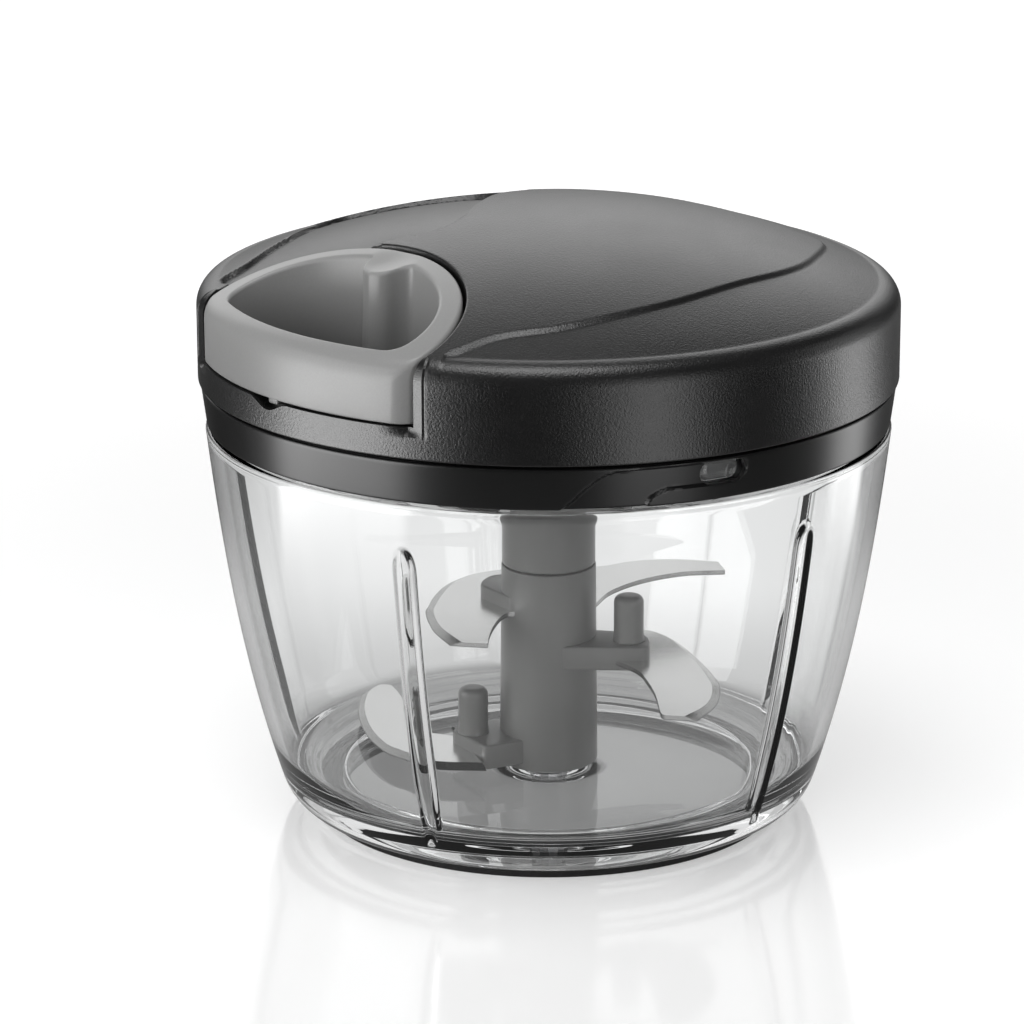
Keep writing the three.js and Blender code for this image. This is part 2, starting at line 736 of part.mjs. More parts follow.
// Lid base: skirt, floor, bearing tube and the three posts of the bridge
const lidEdgeRadius = coverRadius - coverWall - fitGap;
const hubBushInner = tubeRadius + fitGap;
const hubBushOuter = hubBushInner + hubBushWall;
const bearingRadius = hubBushOuter + fitGap;
const washerBottom = lidFloorTop + fitGap;
const washerTop = washerBottom + washerThickness;
const hubFlangeBottom = washerTop + fitGap;
const postTop = bridgeBottom - fitGap;

function lidChannel() {
  const half = lugWidth / 2 + channelGap;
  const halfAngle = half / lugRadius;
  const entryAngle = channelEntryWidth / 2 / lugRadius;
  const outer = lugRadius + channelGap;
  const inner = lidSkirtInner - cutOverrun;
  const bottom = lugMiddleHeight - lugHeight / 2 - channelGap;
  const top = lugMiddleHeight + lugHeight / 2 + channelGap;
  const entry = -unlockTurnShare * fullTurn;
  return ringPart(inner, outer, entry - halfAngle, halfAngle, bottom, top)
    .add(ringPart(inner, outer, entry - entryAngle, entry + entryAngle, lidSkirtBottom - cutOverrun, top))
    .add(ringPart(inner, coverRadius + cutOverrun, -halfAngle, halfAngle, bottom, top));
}

function screwPlaces(circle, turnShares) {
  return turnShares.map((share) => atCircle(circle, share * fullTurn));
}

const postPlaces = screwPlaces(postCircle, postTurnShares);
const coverScrewPlaces = screwPlaces(coverScrewCircle, coverScrewTurnShares);

function lidBase() {
  const rounding = arc(lidSkirtTopRadius - lidSkirtRounding, lidSkirtTop - lidSkirtRounding,
    lidSkirtRounding, 0, fullTurn / 4, cornerSteps / 2);
  const shell = turned([
    [bearingRadius, lidFloorTop], [bearingRadius, lidBossBottom], [lidBossRadius, lidBossBottom],
    [lidBossRadius, lidFloorBottom], [lidSkirtInner, lidFloorBottom], [lidSkirtInner, lidSkirtBottom],
    [lidSkirtBottomRadius, lidSkirtBottom], ...rounding, [lidEdgeRadius, lidSkirtTop],
    [lidEdgeRadius, lidFloorTop], [bearingRadius, lidFloorTop],
  ], shellSteps);
  const post = disc(postRadius, lidFloorTop - weldDistance, postTop, smallSteps);
  const postBore = disc(screwRadius + fitGap, postTop - screwLength, postTop + cutOverrun, smallSteps);
  const through = disc(screwRadius + fitGap, lidFloorBottom - cutOverrun, lidFloorTop + cutOverrun, smallSteps);
  const sink = disc(screwHeadRadius + fitGap, lidFloorBottom - cutOverrun,
    lidFloorBottom + screwHeadThickness + fitGap / 2, smallSteps);
  const posts = postPlaces.map((place) => post.translate(place)).reduce((all, one) => all.add(one));
  const bores = postPlaces.map((place) => postBore.translate(place));
  const holes = coverScrewPlaces.map((place) => through.add(sink).translate(place));
  return [...bores, ...holes].reduce((body, cut) => body.subtract(cut), shell.add(posts))
    .subtract(around(lugCount, lugTurnShare, lidChannel()));
}

add("lid_base", lidBase(), blackPlastic, 0.4);

add("hub_bush", ring(hubBushInner, hubBushOuter, lidFloorTop - hubBushHeight, lidFloorTop), whitePlastic, 0.5);
add("hub_seal", ring(hubBushInner, hubBushOuter, lidBossBottom, lidBossBottom + hubSealHeight), rubber, 0.8);
add("thrust_washer", ring(hubBushInner, hubFlangeRadius, washerBottom, washerTop), steel, 0.3, 1);

// Drive tube: a socket with two ribs below, a flange and a two-flat collar above
const hubFlangeTop = hubFlangeBottom + hubFlangeThickness;
const hubTop = hubFlangeTop + hubCollarHeight;

function flatted(radius, flat, bottom, top) {
  const half = Math.acos(flat / radius);
  const side = (middle) => arc(0, 0, radius, middle - fullTurn / 4 + half, middle + fullTurn / 4 - half);
  return raised([...side(0), ...side(fullTurn / 2)], bottom, top);
}

function driveTube() {
  const bottom = spindleTop + fitGap;
  const ribFrom = (driveFinTurnShare / 2 - socketPlayShare) * fullTurn;
  const rib = ringPart(socketRibRadius, socketRadius + cutOverrun / 2, ribFrom,
    ribFrom + driveFinTurnShare * fullTurn, bottom, socketTop + cutOverrun / 2);
  const socket = disc(socketRadius, bottom - cutOverrun, socketTop).subtract(around(2, 0, rib));
  const body = turned([
    [0, bottom], [tubeRadius, bottom], [tubeRadius, hubFlangeBottom], [hubFlangeRadius, hubFlangeBottom],
    [hubFlangeRadius, hubFlangeTop], [0, hubFlangeTop],
  ], shellSteps / 2);
  return body.add(flatted(hubCollarRadius, hubCollarFlat, hubFlangeTop - weldDistance, hubTop))
    .subtract(socket)
    .subtract(disc(axleRadius + fitGap, axleTip - fitGap, hubTop + cutOverrun, smallSteps));
}

add("drive_tube", driveTube(), greyPlastic, 0.45);

// One-way clutch: a saw-toothed wheel on the tube's collar, and a ring with springy fingers in the spool
function sawOutline(tip, root, teeth) {
  const pitch = fullTurn / teeth;
  return Array.from({ length: teeth }, (_, i) => [
    polar(root, i * pitch),
    polar(tip, i * pitch),
    polar((root + tip) / 2, (i + 1 / 2) * pitch),
  ]).flat();
}

function ratchetWheel() {
  const bottom = hubFlangeTop + fitGap;
  const top = bottom + ratchetThickness;
  const bore = flatted(hubCollarRadius + fitGap, hubCollarFlat + fitGap,
    bottom - cutOverrun, top + cutOverrun);
  return raised(sawOutline(ratchetTipRadius, ratchetRootRadius, ratchetTeeth), bottom, top).subtract(bore);
}

add("ratchet_wheel", ratchetWheel(), greyPlastic, 0.5);

const drumInner = drumRadius - drumWall;

function clutchRing() {
  const top = spoolWebBottom - fitGap;
  const bottom = top - ratchetThickness;
  const outer = drumInner - fitGap;
  const inner = outer - clutchRingWall;
  const tip = ratchetTipRadius + fitGap;
  const steps = curveSteps / 2;
  const edge = (offset) => Array.from({ length: steps + 1 }, (_, i) => {
    const share = i / steps;
    const radius = THREE.MathUtils.lerp(inner, tip, share ** 2) + clutchFingerWall / 2 + offset;
    return polar(radius, share * clutchFingerTurnShare * fullTurn);
  });
  const finger = raised([...edge(clutchFingerWall / 2), ...edge(-clutchFingerWall / 2).reverse()], bottom, top);
  return ring(inner, outer, bottom, top, shellSteps / 2).add(around(clutchFingers, 0, finger));
}

add("clutch_ring", clutchRing(), whitePlastic, 0.45);

// Spool: a drum between two flanges, with a web that parts the clutch below from the spring above
const webTop = spoolWebBottom + spoolWebThickness;

function spoolBody() {
  const bore = axleRadius + fitGap;
  return turned([
    [bore, spoolWebBottom], [drumInner, spoolWebBottom], [drumInner, spoolBottom], [spoolFlangeRadius, spoolBottom],
    [spoolFlangeRadius, spoolBottom + spoolFlangeThickness], [drumRadius, spoolBottom + spoolFlangeThickness],
    [drumRadius, spoolTop - spoolFlangeThickness], [spoolFlangeRadius, spoolTop - spoolFlangeThickness],
    [spoolFlangeRadius, spoolTop], [drumInner, spoolTop], [drumInner, webTop], [bore, webTop],
    [bore, spoolWebBottom],
  ], shellSteps / 2);
}

add("cord_spool", spoolBody(), whitePlastic, 0.5);

// Spiral rewind spring: a flat strip from the arbor to the drum's wall
function rewindSpring() {
  const inner = arborRadius + fitGap;
  const outer = drumInner - fitGap - springStrip;
  const steps = Math.round(springTurns * springTurnSteps);
  const edge = (offset) => Array.from({ length: steps + 1 }, (_, i) => {
    const radius = THREE.MathUtils.lerp(inner, outer, i / steps) + offset;
    return polar(radius, springTurns * fullTurn * i / steps);
  });
  const bottom = webTop + fitGap;
  return raised([...edge(springStrip), ...edge(0).reverse()], bottom, bottom + springWidth);
}

add("rewind_spring", rewindSpring(), steel, 0.35, 1);

function springCover() {
  const bottom = spoolTop + fitGap;
  const bore = arborRadius + fitGap;
  const lipOuter = drumInner - fitGap;
  return turned([
    [bore, bottom], [lipOuter - springCoverLip, bottom], [lipOuter - springCoverLip, bottom - springCoverLip],
    [lipOuter, bottom - springCoverLip], [lipOuter, bottom], [springCoverRadius, bottom],
    [springCoverRadius, bottom + springCoverThickness], [bore, bottom + springCoverThickness], [bore, bottom],
  ], shellSteps / 2);
}

add("spring_cover", springCover(), blackPlastic, 0.5);

// Axle with its arbor, the bridge that holds it, and the nut on top
const bridgeTop = bridgeBottom + bridgeThickness;
const nutBottom = bridgeTop + fitGap;
const axleTop = nutBottom + axleNutThickness;

function axle() {
  return turned([
    [0, axleTip], [axleRadius, axleTip], [axleRadius, webTop + fitGap], [arborRadius, webTop + fitGap],
    [arborRadius, bridgeBottom - fitGap], [axleRadius, bridgeBottom - fitGap], [axleRadius, axleTop],
    [0, axleTop],
  ], smallSteps);
}

add("spool_axle", axle(), steel, 0.3, 1);

function bridge() {
  const half = bridgeArmHalfWidth;
  const outline = [[0, -half], ...arc(postCircle, 0, half, -fullTurn / 4, fullTurn / 4), [0, half]];
  const plain = raised(outline, bridgeBottom, bridgeTop);
  const arms = postTurnShares.map((share) => turnedBy(plain, share * fullTurn));
  const hole = disc(screwRadius + fitGap, bridgeBottom - cutOverrun, bridgeTop + cutOverrun, smallSteps);
  const plate = arms.reduce((all, one) => all.add(one), disc(bridgeHubRadius, bridgeBottom, bridgeTop));
  return postPlaces.map((place) => hole.translate(place)).reduce((body, cut) => body.subtract(cut), plate)
    .subtract(disc(axleRadius + fitGap, bridgeBottom - cutOverrun, bridgeTop + cutOverrun, smallSteps));
}

add("axle_bridge", bridge(), steel, 0.4, 1);

function axleNut() {
  const hexagon = polygon(axleNutRadius, nutSides);
  return raised(hexagon, nutBottom, nutBottom + axleNutThickness)
    .subtract(disc(axleRadius + fitGap, nutBottom - cutOverrun, axleTop + cutOverrun, smallSteps));
}

add("axle_nut", axleNut(), steel, 0.3, 1);

// Screws: pan heads with a driver slot; a positive side points the head up
function screw(seat, side, length) {
  const head = seat + side * screwHeadThickness;
  const tip = seat - side * length;
  const body = turned([[0, tip], [screwRadius, tip], [screwRadius, seat], [screwHeadRadius, seat],
    [screwHeadRadius, head], [0, head]], smallSteps);
  const slotFrom = Math.min(head, head - side * screwSlotDepth);
  const half = screwSlotWidth / 2;
  const reach = screwHeadRadius + cutOverrun;
  const slot = raised([[-reach, -half], [reach, -half], [reach, half], [-reach, half]],
    side > 0 ? slotFrom : slotFrom - cutOverrun, side > 0 ? head + cutOverrun : head + screwSlotDepth);
  return body.subtract(slot);
}

const bridgeScrewSeat = bridgeTop + fitGap;
const bridgeScrew = screw(bridgeScrewSeat, 1, screwLength + bridgeThickness - fitGap);
postPlaces.forEach((place, i) => {
  add(`bridge_screw_${i + 1}`, bridgeScrew.translate(place), steel, 0.3, 1);
});

const coverScrewSeat = lidFloorBottom + screwHeadThickness;
const coverScrew = screw(coverScrewSeat, -1, screwLength);
coverScrewPlaces.forEach((place, i) => {
  add(`cover_screw_${i + 1}`, coverScrew.translate(place), steel, 0.3, 1);
});

// Cover: the dome's height falls with a mix of the second and fourth power of the radius
const domeRim = coverRadius - coverFilletRadius;
const tall = coverTop + cutOverrun;

function domeFall(share) {
  return (1 - domeFlatShare) * share ** 2 + domeFlatShare * share ** 4;
}

function coverForm(inset, bottom, steps = domeSteps) {
  const fillet = coverFilletRadius - inset;
  const slope = Math.atan((coverTop - coverShoulderHeight) * (2 + 2 * domeFlatShare) / domeRim);
  const edge = domeRim + fillet * Math.sin(slope);
  const edgeHeight = coverSideFoot + fillet * Math.cos(slope);
  const dome = Array.from({ length: steps }, (_, i) => {
    const share = i / steps;
    return [share * edge, edgeHeight + (coverTop - inset - edgeHeight) * (1 - domeFall(share))];
  });
  const corner = arc(domeRim, coverSideFoot, fillet, fullTurn / 4 - slope, 0);
  return turned([...dome, ...corner, [coverRadius - inset, bottom], [0, bottom]], shellSteps);
}

// A region of the dome, from its outline as shares of the cover's radius
function domeRegion(shares) {
  return raised(shares.map(([x, y]) => [x * coverRadius, y * coverRadius]), coverSideFoot, tall);
}

// The dome with its raised leaf and the scoop beside the handle
function coverOutside(bottom) {
  const full = coverForm(0, bottom);
  const field = full.translate([0, 0, -leafRise]);
  const scooped = full.translate([0, 0, -leafRise - scoopDrop]);
  return field.add(full.intersect(domeRegion(leafShares)))
    .subtract(domeRegion(scoopShares).subtract(scooped))
    .subtract(disc(2 * coverRadius, 0, bottom));
}

// Half an ellipse in the pull frame, from its +Y side over its back to its -Y side
function backPlan(middle, back, halfWidth) {
  return Array.from({ length: 2 * curveSteps + 1 }, (_, i) => {
    const angle = fullTurn / 4 + Math.PI * i / (2 * curveSteps);
    return [middle + (middle - back) * Math.cos(angle), halfWidth * Math.sin(angle)];
  });
}

// A closed loop: the half ellipse, and a face curved about the lid's axis with two rounded corners
function loopPlan(back, halfWidth, faceRadius, corner) {
  const middleY = halfWidth - corner;
  const middleX = Math.sqrt((faceRadius - corner) ** 2 - middleY ** 2);
  const turn = Math.atan2(middleY, middleX);
  return [
    ...backPlan(middleX, back, halfWidth).slice(0, -1),
    ...arc(middleX, -middleY, corner, -fullTurn / 4, -turn),
    ...arc(0, 0, faceRadius, -turn, turn, curveSteps).slice(1, -1),
    ...arc(middleX, middleY, corner, turn, fullTurn / 4).slice(0, -1),
  ];
}

// The bay: the handle's outline grown by a gap and open to the outside
function bayPlan(gap) {
  const halfWidth = handleHalfWidth + gap;
  const open = 2 * coverRadius;
  return [...backPlan(handleMiddle, handleBack - gap, halfWidth), [open, -halfWidth], [open, halfWidth]];
}

const bayFloor = handleBottom - bayFloorDrop;
const bayBack = handleBack - handleGap;
const handleCornerY = handleHalfWidth - handleCornerRadius;
const handleMiddle = Math.sqrt((handleOuterRadius - handleCornerRadius) ** 2 - handleCornerY ** 2);

function coverBody() {
  const bottom = lidSkirtTop + seamGap;
  const outside = coverOutside(bottom);
  const inside = coverForm(coverWall + leafRise, bottom - cutOverrun, domeSteps - cornerSteps / 2)
    .add(disc(coverRadius - coverWall, bottom - cutOverrun, coverSideFoot, shellSteps));
  const wall = raised(bayPlan(handleGap + coverWall), bayFloor - bayFloorThickness, tall);
  const bay = raised(bayPlan(handleGap), bayFloor, tall);
  const eyeletHole = sideways(eyeletRadius + fitGap, bayBack - coverWall - cutOverrun, bayBack + cutOverrun)
    .add(sideways(eyeletFlangeRadius + fitGap, bayBack - eyeletFlangeThickness - fitGap, bayBack + cutOverrun));
  const notch = raised([[-notchHalfWidth, 0], [0, -notchDepth], [notchHalfWidth, 0], [0, notchDepth]],
    coverRadius - notchReach, coverRadius + cutOverrun).rotate([90, 0, 90]).translate([0, 0, bayFloor]);
  const boss = disc(coverBossRadius, lidFloorTop + fitGap, tall, smallSteps);
  const bore = disc(screwRadius + fitGap, lidFloorTop, lidFloorTop + screwLength, smallSteps);
  const bosses = coverScrewPlaces.map((place) => boss.translate(place)).reduce((all, one) => all.add(one));
  const bores = coverScrewPlaces.map((place) => bore.translate(place)).reduce((all, one) => all.add(one));
  return outside.subtract(inside)
    .add(outside.intersect(aroundPull(wall).add(bosses)))
    .subtract(aroundPull(bay.add(eyeletHole).add(notch))).subtract(bores);
}

// A round bar along the pull direction at the cord's height
function sideways(radius, from, to) {
  return disc(radius, from, to, smallSteps).rotate([0, 90, 0]).translate([0, 0, cordRunHeight]);
}

add("lid_cover", coverBody(), blackPlastic, 0.55);

function eyelet() {
  const flangeOuter = bayBack - fitGap / 2;
  const flangeInner = flangeOuter - eyeletFlangeThickness;
  const end = bayBack - coverWall - fitGap;
  const body = turned([
    [eyeletBoreRadius, end], [eyeletRadius, end], [eyeletRadius, flangeInner], [eyeletFlangeRadius, flangeInner],
    [eyeletFlangeRadius, flangeOuter], [eyeletBoreRadius, flangeOuter], [eyeletBoreRadius, end],
  ], smallSteps);
  return aroundPull(body.rotate([0, 90, 0]).translate([0, 0, cordRunHeight]));
}

add("cord_eyelet", eyelet(), steel, 0.3, 1);

// Handle: a loop that fills the bay, with a round boss for the cord's knot and a small tab below
const pocketX = handleBack + handleBackWall / 2 + handlePocketRadius;

function handleBody() {
  const top = coverForm(coverRadius - handleOuterRadius, handleBottom);
  const outline = loopPlan(handleBack, handleHalfWidth, handleOuterRadius, handleCornerRadius);
  const loop = raised(outline, handleBottom, tall);
  const openingPlan = loopPlan(handleBack + handleBackWall, handleHalfWidth - handleSideWall,
    handleOuterRadius - handleFaceWall, handleOpeningCorner);
  const opening = raised(openingPlan, handleBottom - cutOverrun, tall + cutOverrun);
  const boss = disc(handleBossRadius, handleBottom, tall, turnedSteps).translate([pocketX, 0, 0]);
  const pocket = disc(handlePocketRadius, handleBottom - cutOverrun, handlePocketTop, smallSteps)
    .translate([pocketX, 0, 0]);
  const cordHole = sideways(cordRadius + fitGap, handleBack - cutOverrun, pocketX);
  const tabOuter = handleOuterRadius - handleFaceWall / 4;
  const tab = raised([
    [tabOuter - tabLength, -tabHalfWidth], [tabOuter, -tabHalfWidth], [tabOuter, tabHalfWidth],
    [tabOuter - tabLength, tabHalfWidth],
  ], handleBottom - tabDrop, handleBottom + weldDistance);
  const body = loop.subtract(opening).add(boss).intersect(top).add(tab);
  return aroundPull(body.subtract(pocket).subtract(cordHole));
}

add("pull_handle", handleBody(), handlePlastic, 0.4);

function handlePlug() {
  const top = handleBottom + handlePlugThickness;
  const plug = disc(handlePocketRadius - fitGap / 2, handleBottom, top, smallSteps);
  return aroundPull(plug.translate([pocketX, 0, 0]));
}

add("handle_plug", handlePlug(), handlePlastic, 0.45);

// Cord: the winding on the drum, the run to the eyelet, the stretch to the handle and its knot
const windingRadius = drumRadius + fitGap + cordRadius;
// The turns on the drum lie just under the run, which they pass below as the drum turns
const windingTop = cordRunHeight - 2 * cordRadius - fitGap / 2;
const eyeletStart = bayBack - coverWall - fitGap;
const cordCorner = eyeletStart - cordCornerInset;
const leaveAngle = pullAngle - Math.acos(windingRadius / cordCorner);

// A tube of a few sides along a curve
function tubeOn(curve, steps) {
  const corners = polygon(cordRadius, cordSides).map(([x, y]) => new THREE.Vector2(x, y));
  const section = new THREE.Shape(corners);
  return solid(new THREE.ExtrudeGeometry(section, { steps, bevelEnabled: false, extrudePath: curve }));
}

// A point on the winding, some turns before the place where the cord leaves the drum
function windingPoint(turnsBefore) {
  const [x, y] = polar(windingRadius, leaveAngle - turnsBefore * fullTurn);
  return new THREE.Vector3(x, y, windingTop - turnsBefore * cordPitch);
}

// The way that the cord runs where it leaves the drum
const leaveWay = new THREE.Vector3(...polar(1, leaveAngle + fullTurn / 4), 0);

class Winding extends THREE.Curve {
  getPoint(share, target = new THREE.Vector3()) {
    const length = cordTurns * fullTurn * windingRadius;
    const total = length + 2 * cordStraight;
    const along = share * total - cordStraight;
    const turnsBefore = THREE.MathUtils.clamp(1 - along / length, 0, 1) * cordTurns;
    const past = along - THREE.MathUtils.clamp(along, 0, length);
    const way = leaveWay.clone().applyAxisAngle(new THREE.Vector3(0, 0, 1), -turnsBefore * fullTurn);
    return target.copy(windingPoint(turnsBefore)).addScaledVector(way, past);
  }
}

// The least gap between turns, measured on points half a turn or more apart
function windingGap() {
  const count = Math.round(cordTurns * cordTurnSteps) + 1;
  const points = Array.from({ length: count }, (_, i) => windingPoint(i / cordTurnSteps));
  const gaps = points.flatMap((here, i) => points.slice(i + cordTurnSteps / 2)
    .map((there) => here.distanceTo(there) - 2 * cordRadius));
  return Math.min(...gaps);
}

console.log("least gap of the cord winding to itself, mm:", windingGap().toFixed(3));
add("cord_winding", tubeOn(new Winding(), Math.round(cordTurns * cordTurnSteps)), cordColour, 0.8);

// The run leaves along the drum's tangent, bends at the corner and passes through the eyelet
function cordRun() {
  const corner = new THREE.Vector3(cordCorner, 0, cordRunHeight)
    .applyAxisAngle(new THREE.Vector3(0, 0, 1), pullAngle);
  const outward = new THREE.Vector3(...polar(1, pullAngle), 0);
  const path = new THREE.CurvePath();
  const start = windingPoint(0).setZ(cordRunHeight);
  const bendStart = corner.clone().addScaledVector(leaveWay, -cordCornerReach);
  const bendEnd = corner.clone().addScaledVector(outward, cordCornerReach);
  const end = corner.clone().addScaledVector(outward, bayBack - fitGap - cordCorner);
  path.add(new THREE.LineCurve3(start, bendStart));
  path.add(new THREE.QuadraticBezierCurve3(bendStart, corner, bendEnd));
  path.add(new THREE.LineCurve3(bendEnd, end));
  return tubeOn(path, cordTurnSteps);
}

add("cord_run", cordRun(), cordColour, 0.8);

const knotX = pocketX - handlePocketRadius + fitGap + knotRadius;

function pullCord() {
  return aroundPull(sideways(cordRadius, bayBack, knotX - knotRadius - fitGap));
}

add("pull_cord", pullCord(), cordColour, 0.8);

function cordKnot() {
  const ball = solid(new THREE.IcosahedronGeometry(knotRadius, 1));
  return aroundPull(ball.translate([knotX, 0, cordRunHeight]));
}

add("cord_knot", cordKnot(), cordColour, 0.8);

export default chopper;
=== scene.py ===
"""A pull-string food chopper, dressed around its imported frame.

Every visible surface is worked out with numpy on a grid of two parameters, in metres, in the frame's own axes.
"""

import json
import math

import bmesh
import bpy
import numpy as np
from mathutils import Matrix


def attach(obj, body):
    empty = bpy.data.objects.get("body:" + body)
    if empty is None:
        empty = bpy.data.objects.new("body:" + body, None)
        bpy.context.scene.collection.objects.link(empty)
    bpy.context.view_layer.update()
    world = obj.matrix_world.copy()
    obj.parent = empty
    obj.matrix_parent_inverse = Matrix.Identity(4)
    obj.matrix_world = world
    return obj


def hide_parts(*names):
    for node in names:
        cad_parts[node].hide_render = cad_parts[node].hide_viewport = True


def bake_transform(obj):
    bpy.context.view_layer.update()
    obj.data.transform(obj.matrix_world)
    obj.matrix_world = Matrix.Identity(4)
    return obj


bl_info = {
    "name": "Pull-string food chopper",
    "version": (1, 0, 0),
    "blender": (4, 5, 0),
    "location": "View3D > Sidebar > Chopper",
    "description": "Makes the bowl, lid, handle, blades and cord of a food chopper",
    "category": "Add Mesh",
}

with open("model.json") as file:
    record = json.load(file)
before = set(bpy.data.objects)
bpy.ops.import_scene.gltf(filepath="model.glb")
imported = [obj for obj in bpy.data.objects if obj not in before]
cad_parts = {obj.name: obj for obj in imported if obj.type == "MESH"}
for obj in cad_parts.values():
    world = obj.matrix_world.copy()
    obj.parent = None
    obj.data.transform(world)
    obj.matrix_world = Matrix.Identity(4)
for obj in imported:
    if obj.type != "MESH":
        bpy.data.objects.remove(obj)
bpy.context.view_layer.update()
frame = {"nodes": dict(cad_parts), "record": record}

MM = 0.001
TURN = 2 * math.pi
WELD = 1e-7
SHARP = math.radians(32)
WHITE = (1, 1, 1, 1)
PULL = math.radians(220)
LUG_COUNT = 3
LUG_ANGLE = math.radians(-61.5)
GROOVE_COUNT = 5
GROOVE_ANGLE = math.radians(-42.5)


def length(label, description, millimetres):
    """A length that a user would change, kept in metres."""
    return bpy.props.FloatProperty(
        name=label, description=description, default=millimetres * MM, min=0, unit="LENGTH", precision=5
    )


def number(label, description, value, **more):
    """A number that a user would change."""
    return bpy.props.FloatProperty(name=label, description=description, default=value, **more)


def share(label, description, value):
    """A number from 0 to 1 that a user would change."""
    return number(label, description, value, min=0, max=1, subtype="FACTOR")


def colour(label, description, red, green, blue):
    """A colour that a user would change."""
    return bpy.props.FloatVectorProperty(
        name=label, description=description, default=(red, green, blue), min=0, max=1, subtype="COLOR"
    )


class ChopperBowlSizes(bpy.types.PropertyGroup):
    """Sizes of the clear bowl."""

    wall: length("Wall", "Thickness of the side", 2.4)
    shoulder_radius: length("Shoulder radius", "Outer radius under the lid", 69.9)
    shoulder_height: length("Shoulder height", "Height of the widest place", 82.2)
    neck_radius: length("Neck radius", "Outer radius of the neck inside the lid", 67.2)
    neck_inner: length("Neck bore", "Inner radius of the neck", 65.2)
    rim_height: length("Rim height", "Height of the rim", 91.2)
    floor_top: length("Floor", "Height of the inside floor", 8.4)
    stand_height: length("Stand height", "Height of the foot over the table", 1.8)
    foot_radius: length("Foot radius", "Radius where the foot begins to round", 48)
    corner_radius: length("Corner radius", "Rounding between foot and side", 8)
    groove_half_width: length("Groove half width", "Half the width of a groove", 1.7)
    groove_depth: length("Groove depth", "Depth of a groove in the side", 1.5)


class ChopperLidSizes(bpy.types.PropertyGroup):
    """Sizes of the lid's ring and cover."""

    radius: length("Cover radius", "Outer radius of the cover", 71.4)
    top: length("Top", "Height of the middle of the dome", 125.3)
    corner_height: length("Corner height", "Height where the side begins to round", 107.09)
    corner_radius: length("Corner radius", "Rounding between side and dome", 5)
    wall: length("Wall", "Thickness of the cover", 2.2)
    bottom: length("Cover's lower edge", "Height of the cover's lower edge", 92)
    leaf_rise: length("Leaf rise", "How far the leaf stands over the dome around it", 0.6)
    scoop_drop: length("Scoop drop", "How far the scoop lies under the dome around it", 1.0)
    bay_floor: length("Bay floor", "Height of the floor under the handle", 98.2)
    ring_bottom: length("Ring's lower edge", "Height of the ring's lower edge", 83)
    ring_top: length("Ring's upper edge", "Height of the ring's upper edge", 91.4)
    channel_depth: length("Channel depth", "Depth of the bayonet channel in the ring", 0.8)


class ChopperHandleSizes(bpy.types.PropertyGroup):
    """Sizes of the pull handle."""

    back: length("Back", "Distance of the handle's back from the lid's axis", 34)
    half_width: length("Half width", "Half the handle's width", 33.2)
    outer_radius: length("Face radius", "Radius of the face about the lid's axis", 71)
    bottom: length("Bottom", "Height of the handle's underside", 98.5)
    side_wall: length("Side wall", "Thickness of the sides", 6)
    back_wall: length("Back wall", "Thickness of the back", 4.3)
    face_wall: length("Face wall", "Thickness of the face", 4.2)
    corner: length("Corner", "Rounding of the face's upright edges", 6)
    opening_corner: length("Opening corner", "Rounding of the opening's corners", 5)
    boss_radius: length("Boss radius", "Radius of the round boss", 4.5)
    edge: length("Edge", "Rounding of the upper edges", 0.9)
    gap: length("Gap", "Gap between the handle and the cover", 0.7)


class ChopperBladeSizes(bpy.types.PropertyGroup):
    """Sizes of the spindle, its arms and blades."""

    reach: length("Reach", "Length that the blade outlines are shares of", 53.2)
    thickness: length("Thickness", "Thickness of a blade", 1)
    edge: length("Edge", "Thickness left at the cutting edge", 0.1)
    bevel: length("Bevel", "Width of the ground bevel", 2.4)
    foot_radius: length("Spindle foot", "Radius of the spindle at its foot", 10.2)
    head_radius: length("Spindle head", "Radius of the spindle at its head", 9.8)
    seam: length("Seam", "Height of the joint between spindle and drive tube", 51.35)
    tube_radius: length("Tube radius", "Radius of the drive tube", 9.65)
    peg_radius: length("Peg radius", "Radius of a peg", 3.1)


class ChopperFinishes(bpy.types.PropertyGroup):
    """Colours and gloss of the finishes."""

    clear: colour("Clear plastic", "Tint of the bowl", 0.985, 0.99, 0.99)
    cover: colour("Cover", "Colour of the grained cover", 0.006, 0.006, 0.0062)
    ring: colour("Ring", "Colour of the smooth ring", 0.009, 0.009, 0.0092)
    handle: colour("Handle", "Colour of the handle", 0.305, 0.305, 0.303)
    grey: colour("Spindle", "Colour of spindle, arms and pegs", 0.15, 0.15, 0.147)
    white: colour("White plastic", "Colour of the inner plastic pieces", 0.74, 0.74, 0.72)
    silicone: colour("Silicone", "Colour of the seals", 0.60, 0.60, 0.58)
    rubber: colour("Rubber", "Colour of the foot ring", 0.012, 0.012, 0.012)
    steel: colour("Steel", "Colour of pins, screws and spring", 0.60, 0.60, 0.61)
    blade: colour("Blade", "Colour of the ground blades", 0.82, 0.82, 0.815)
    cord: colour("Cord", "Colour of the braided cord", 0.70, 0.70, 0.67)
    cover_roughness: share("Cover roughness", "Roughness of the grained cover", 0.34)
    ring_roughness: share("Ring roughness", "Roughness of the smooth ring", 0.3)
    handle_roughness: share("Handle roughness", "Roughness of the handle", 0.36)


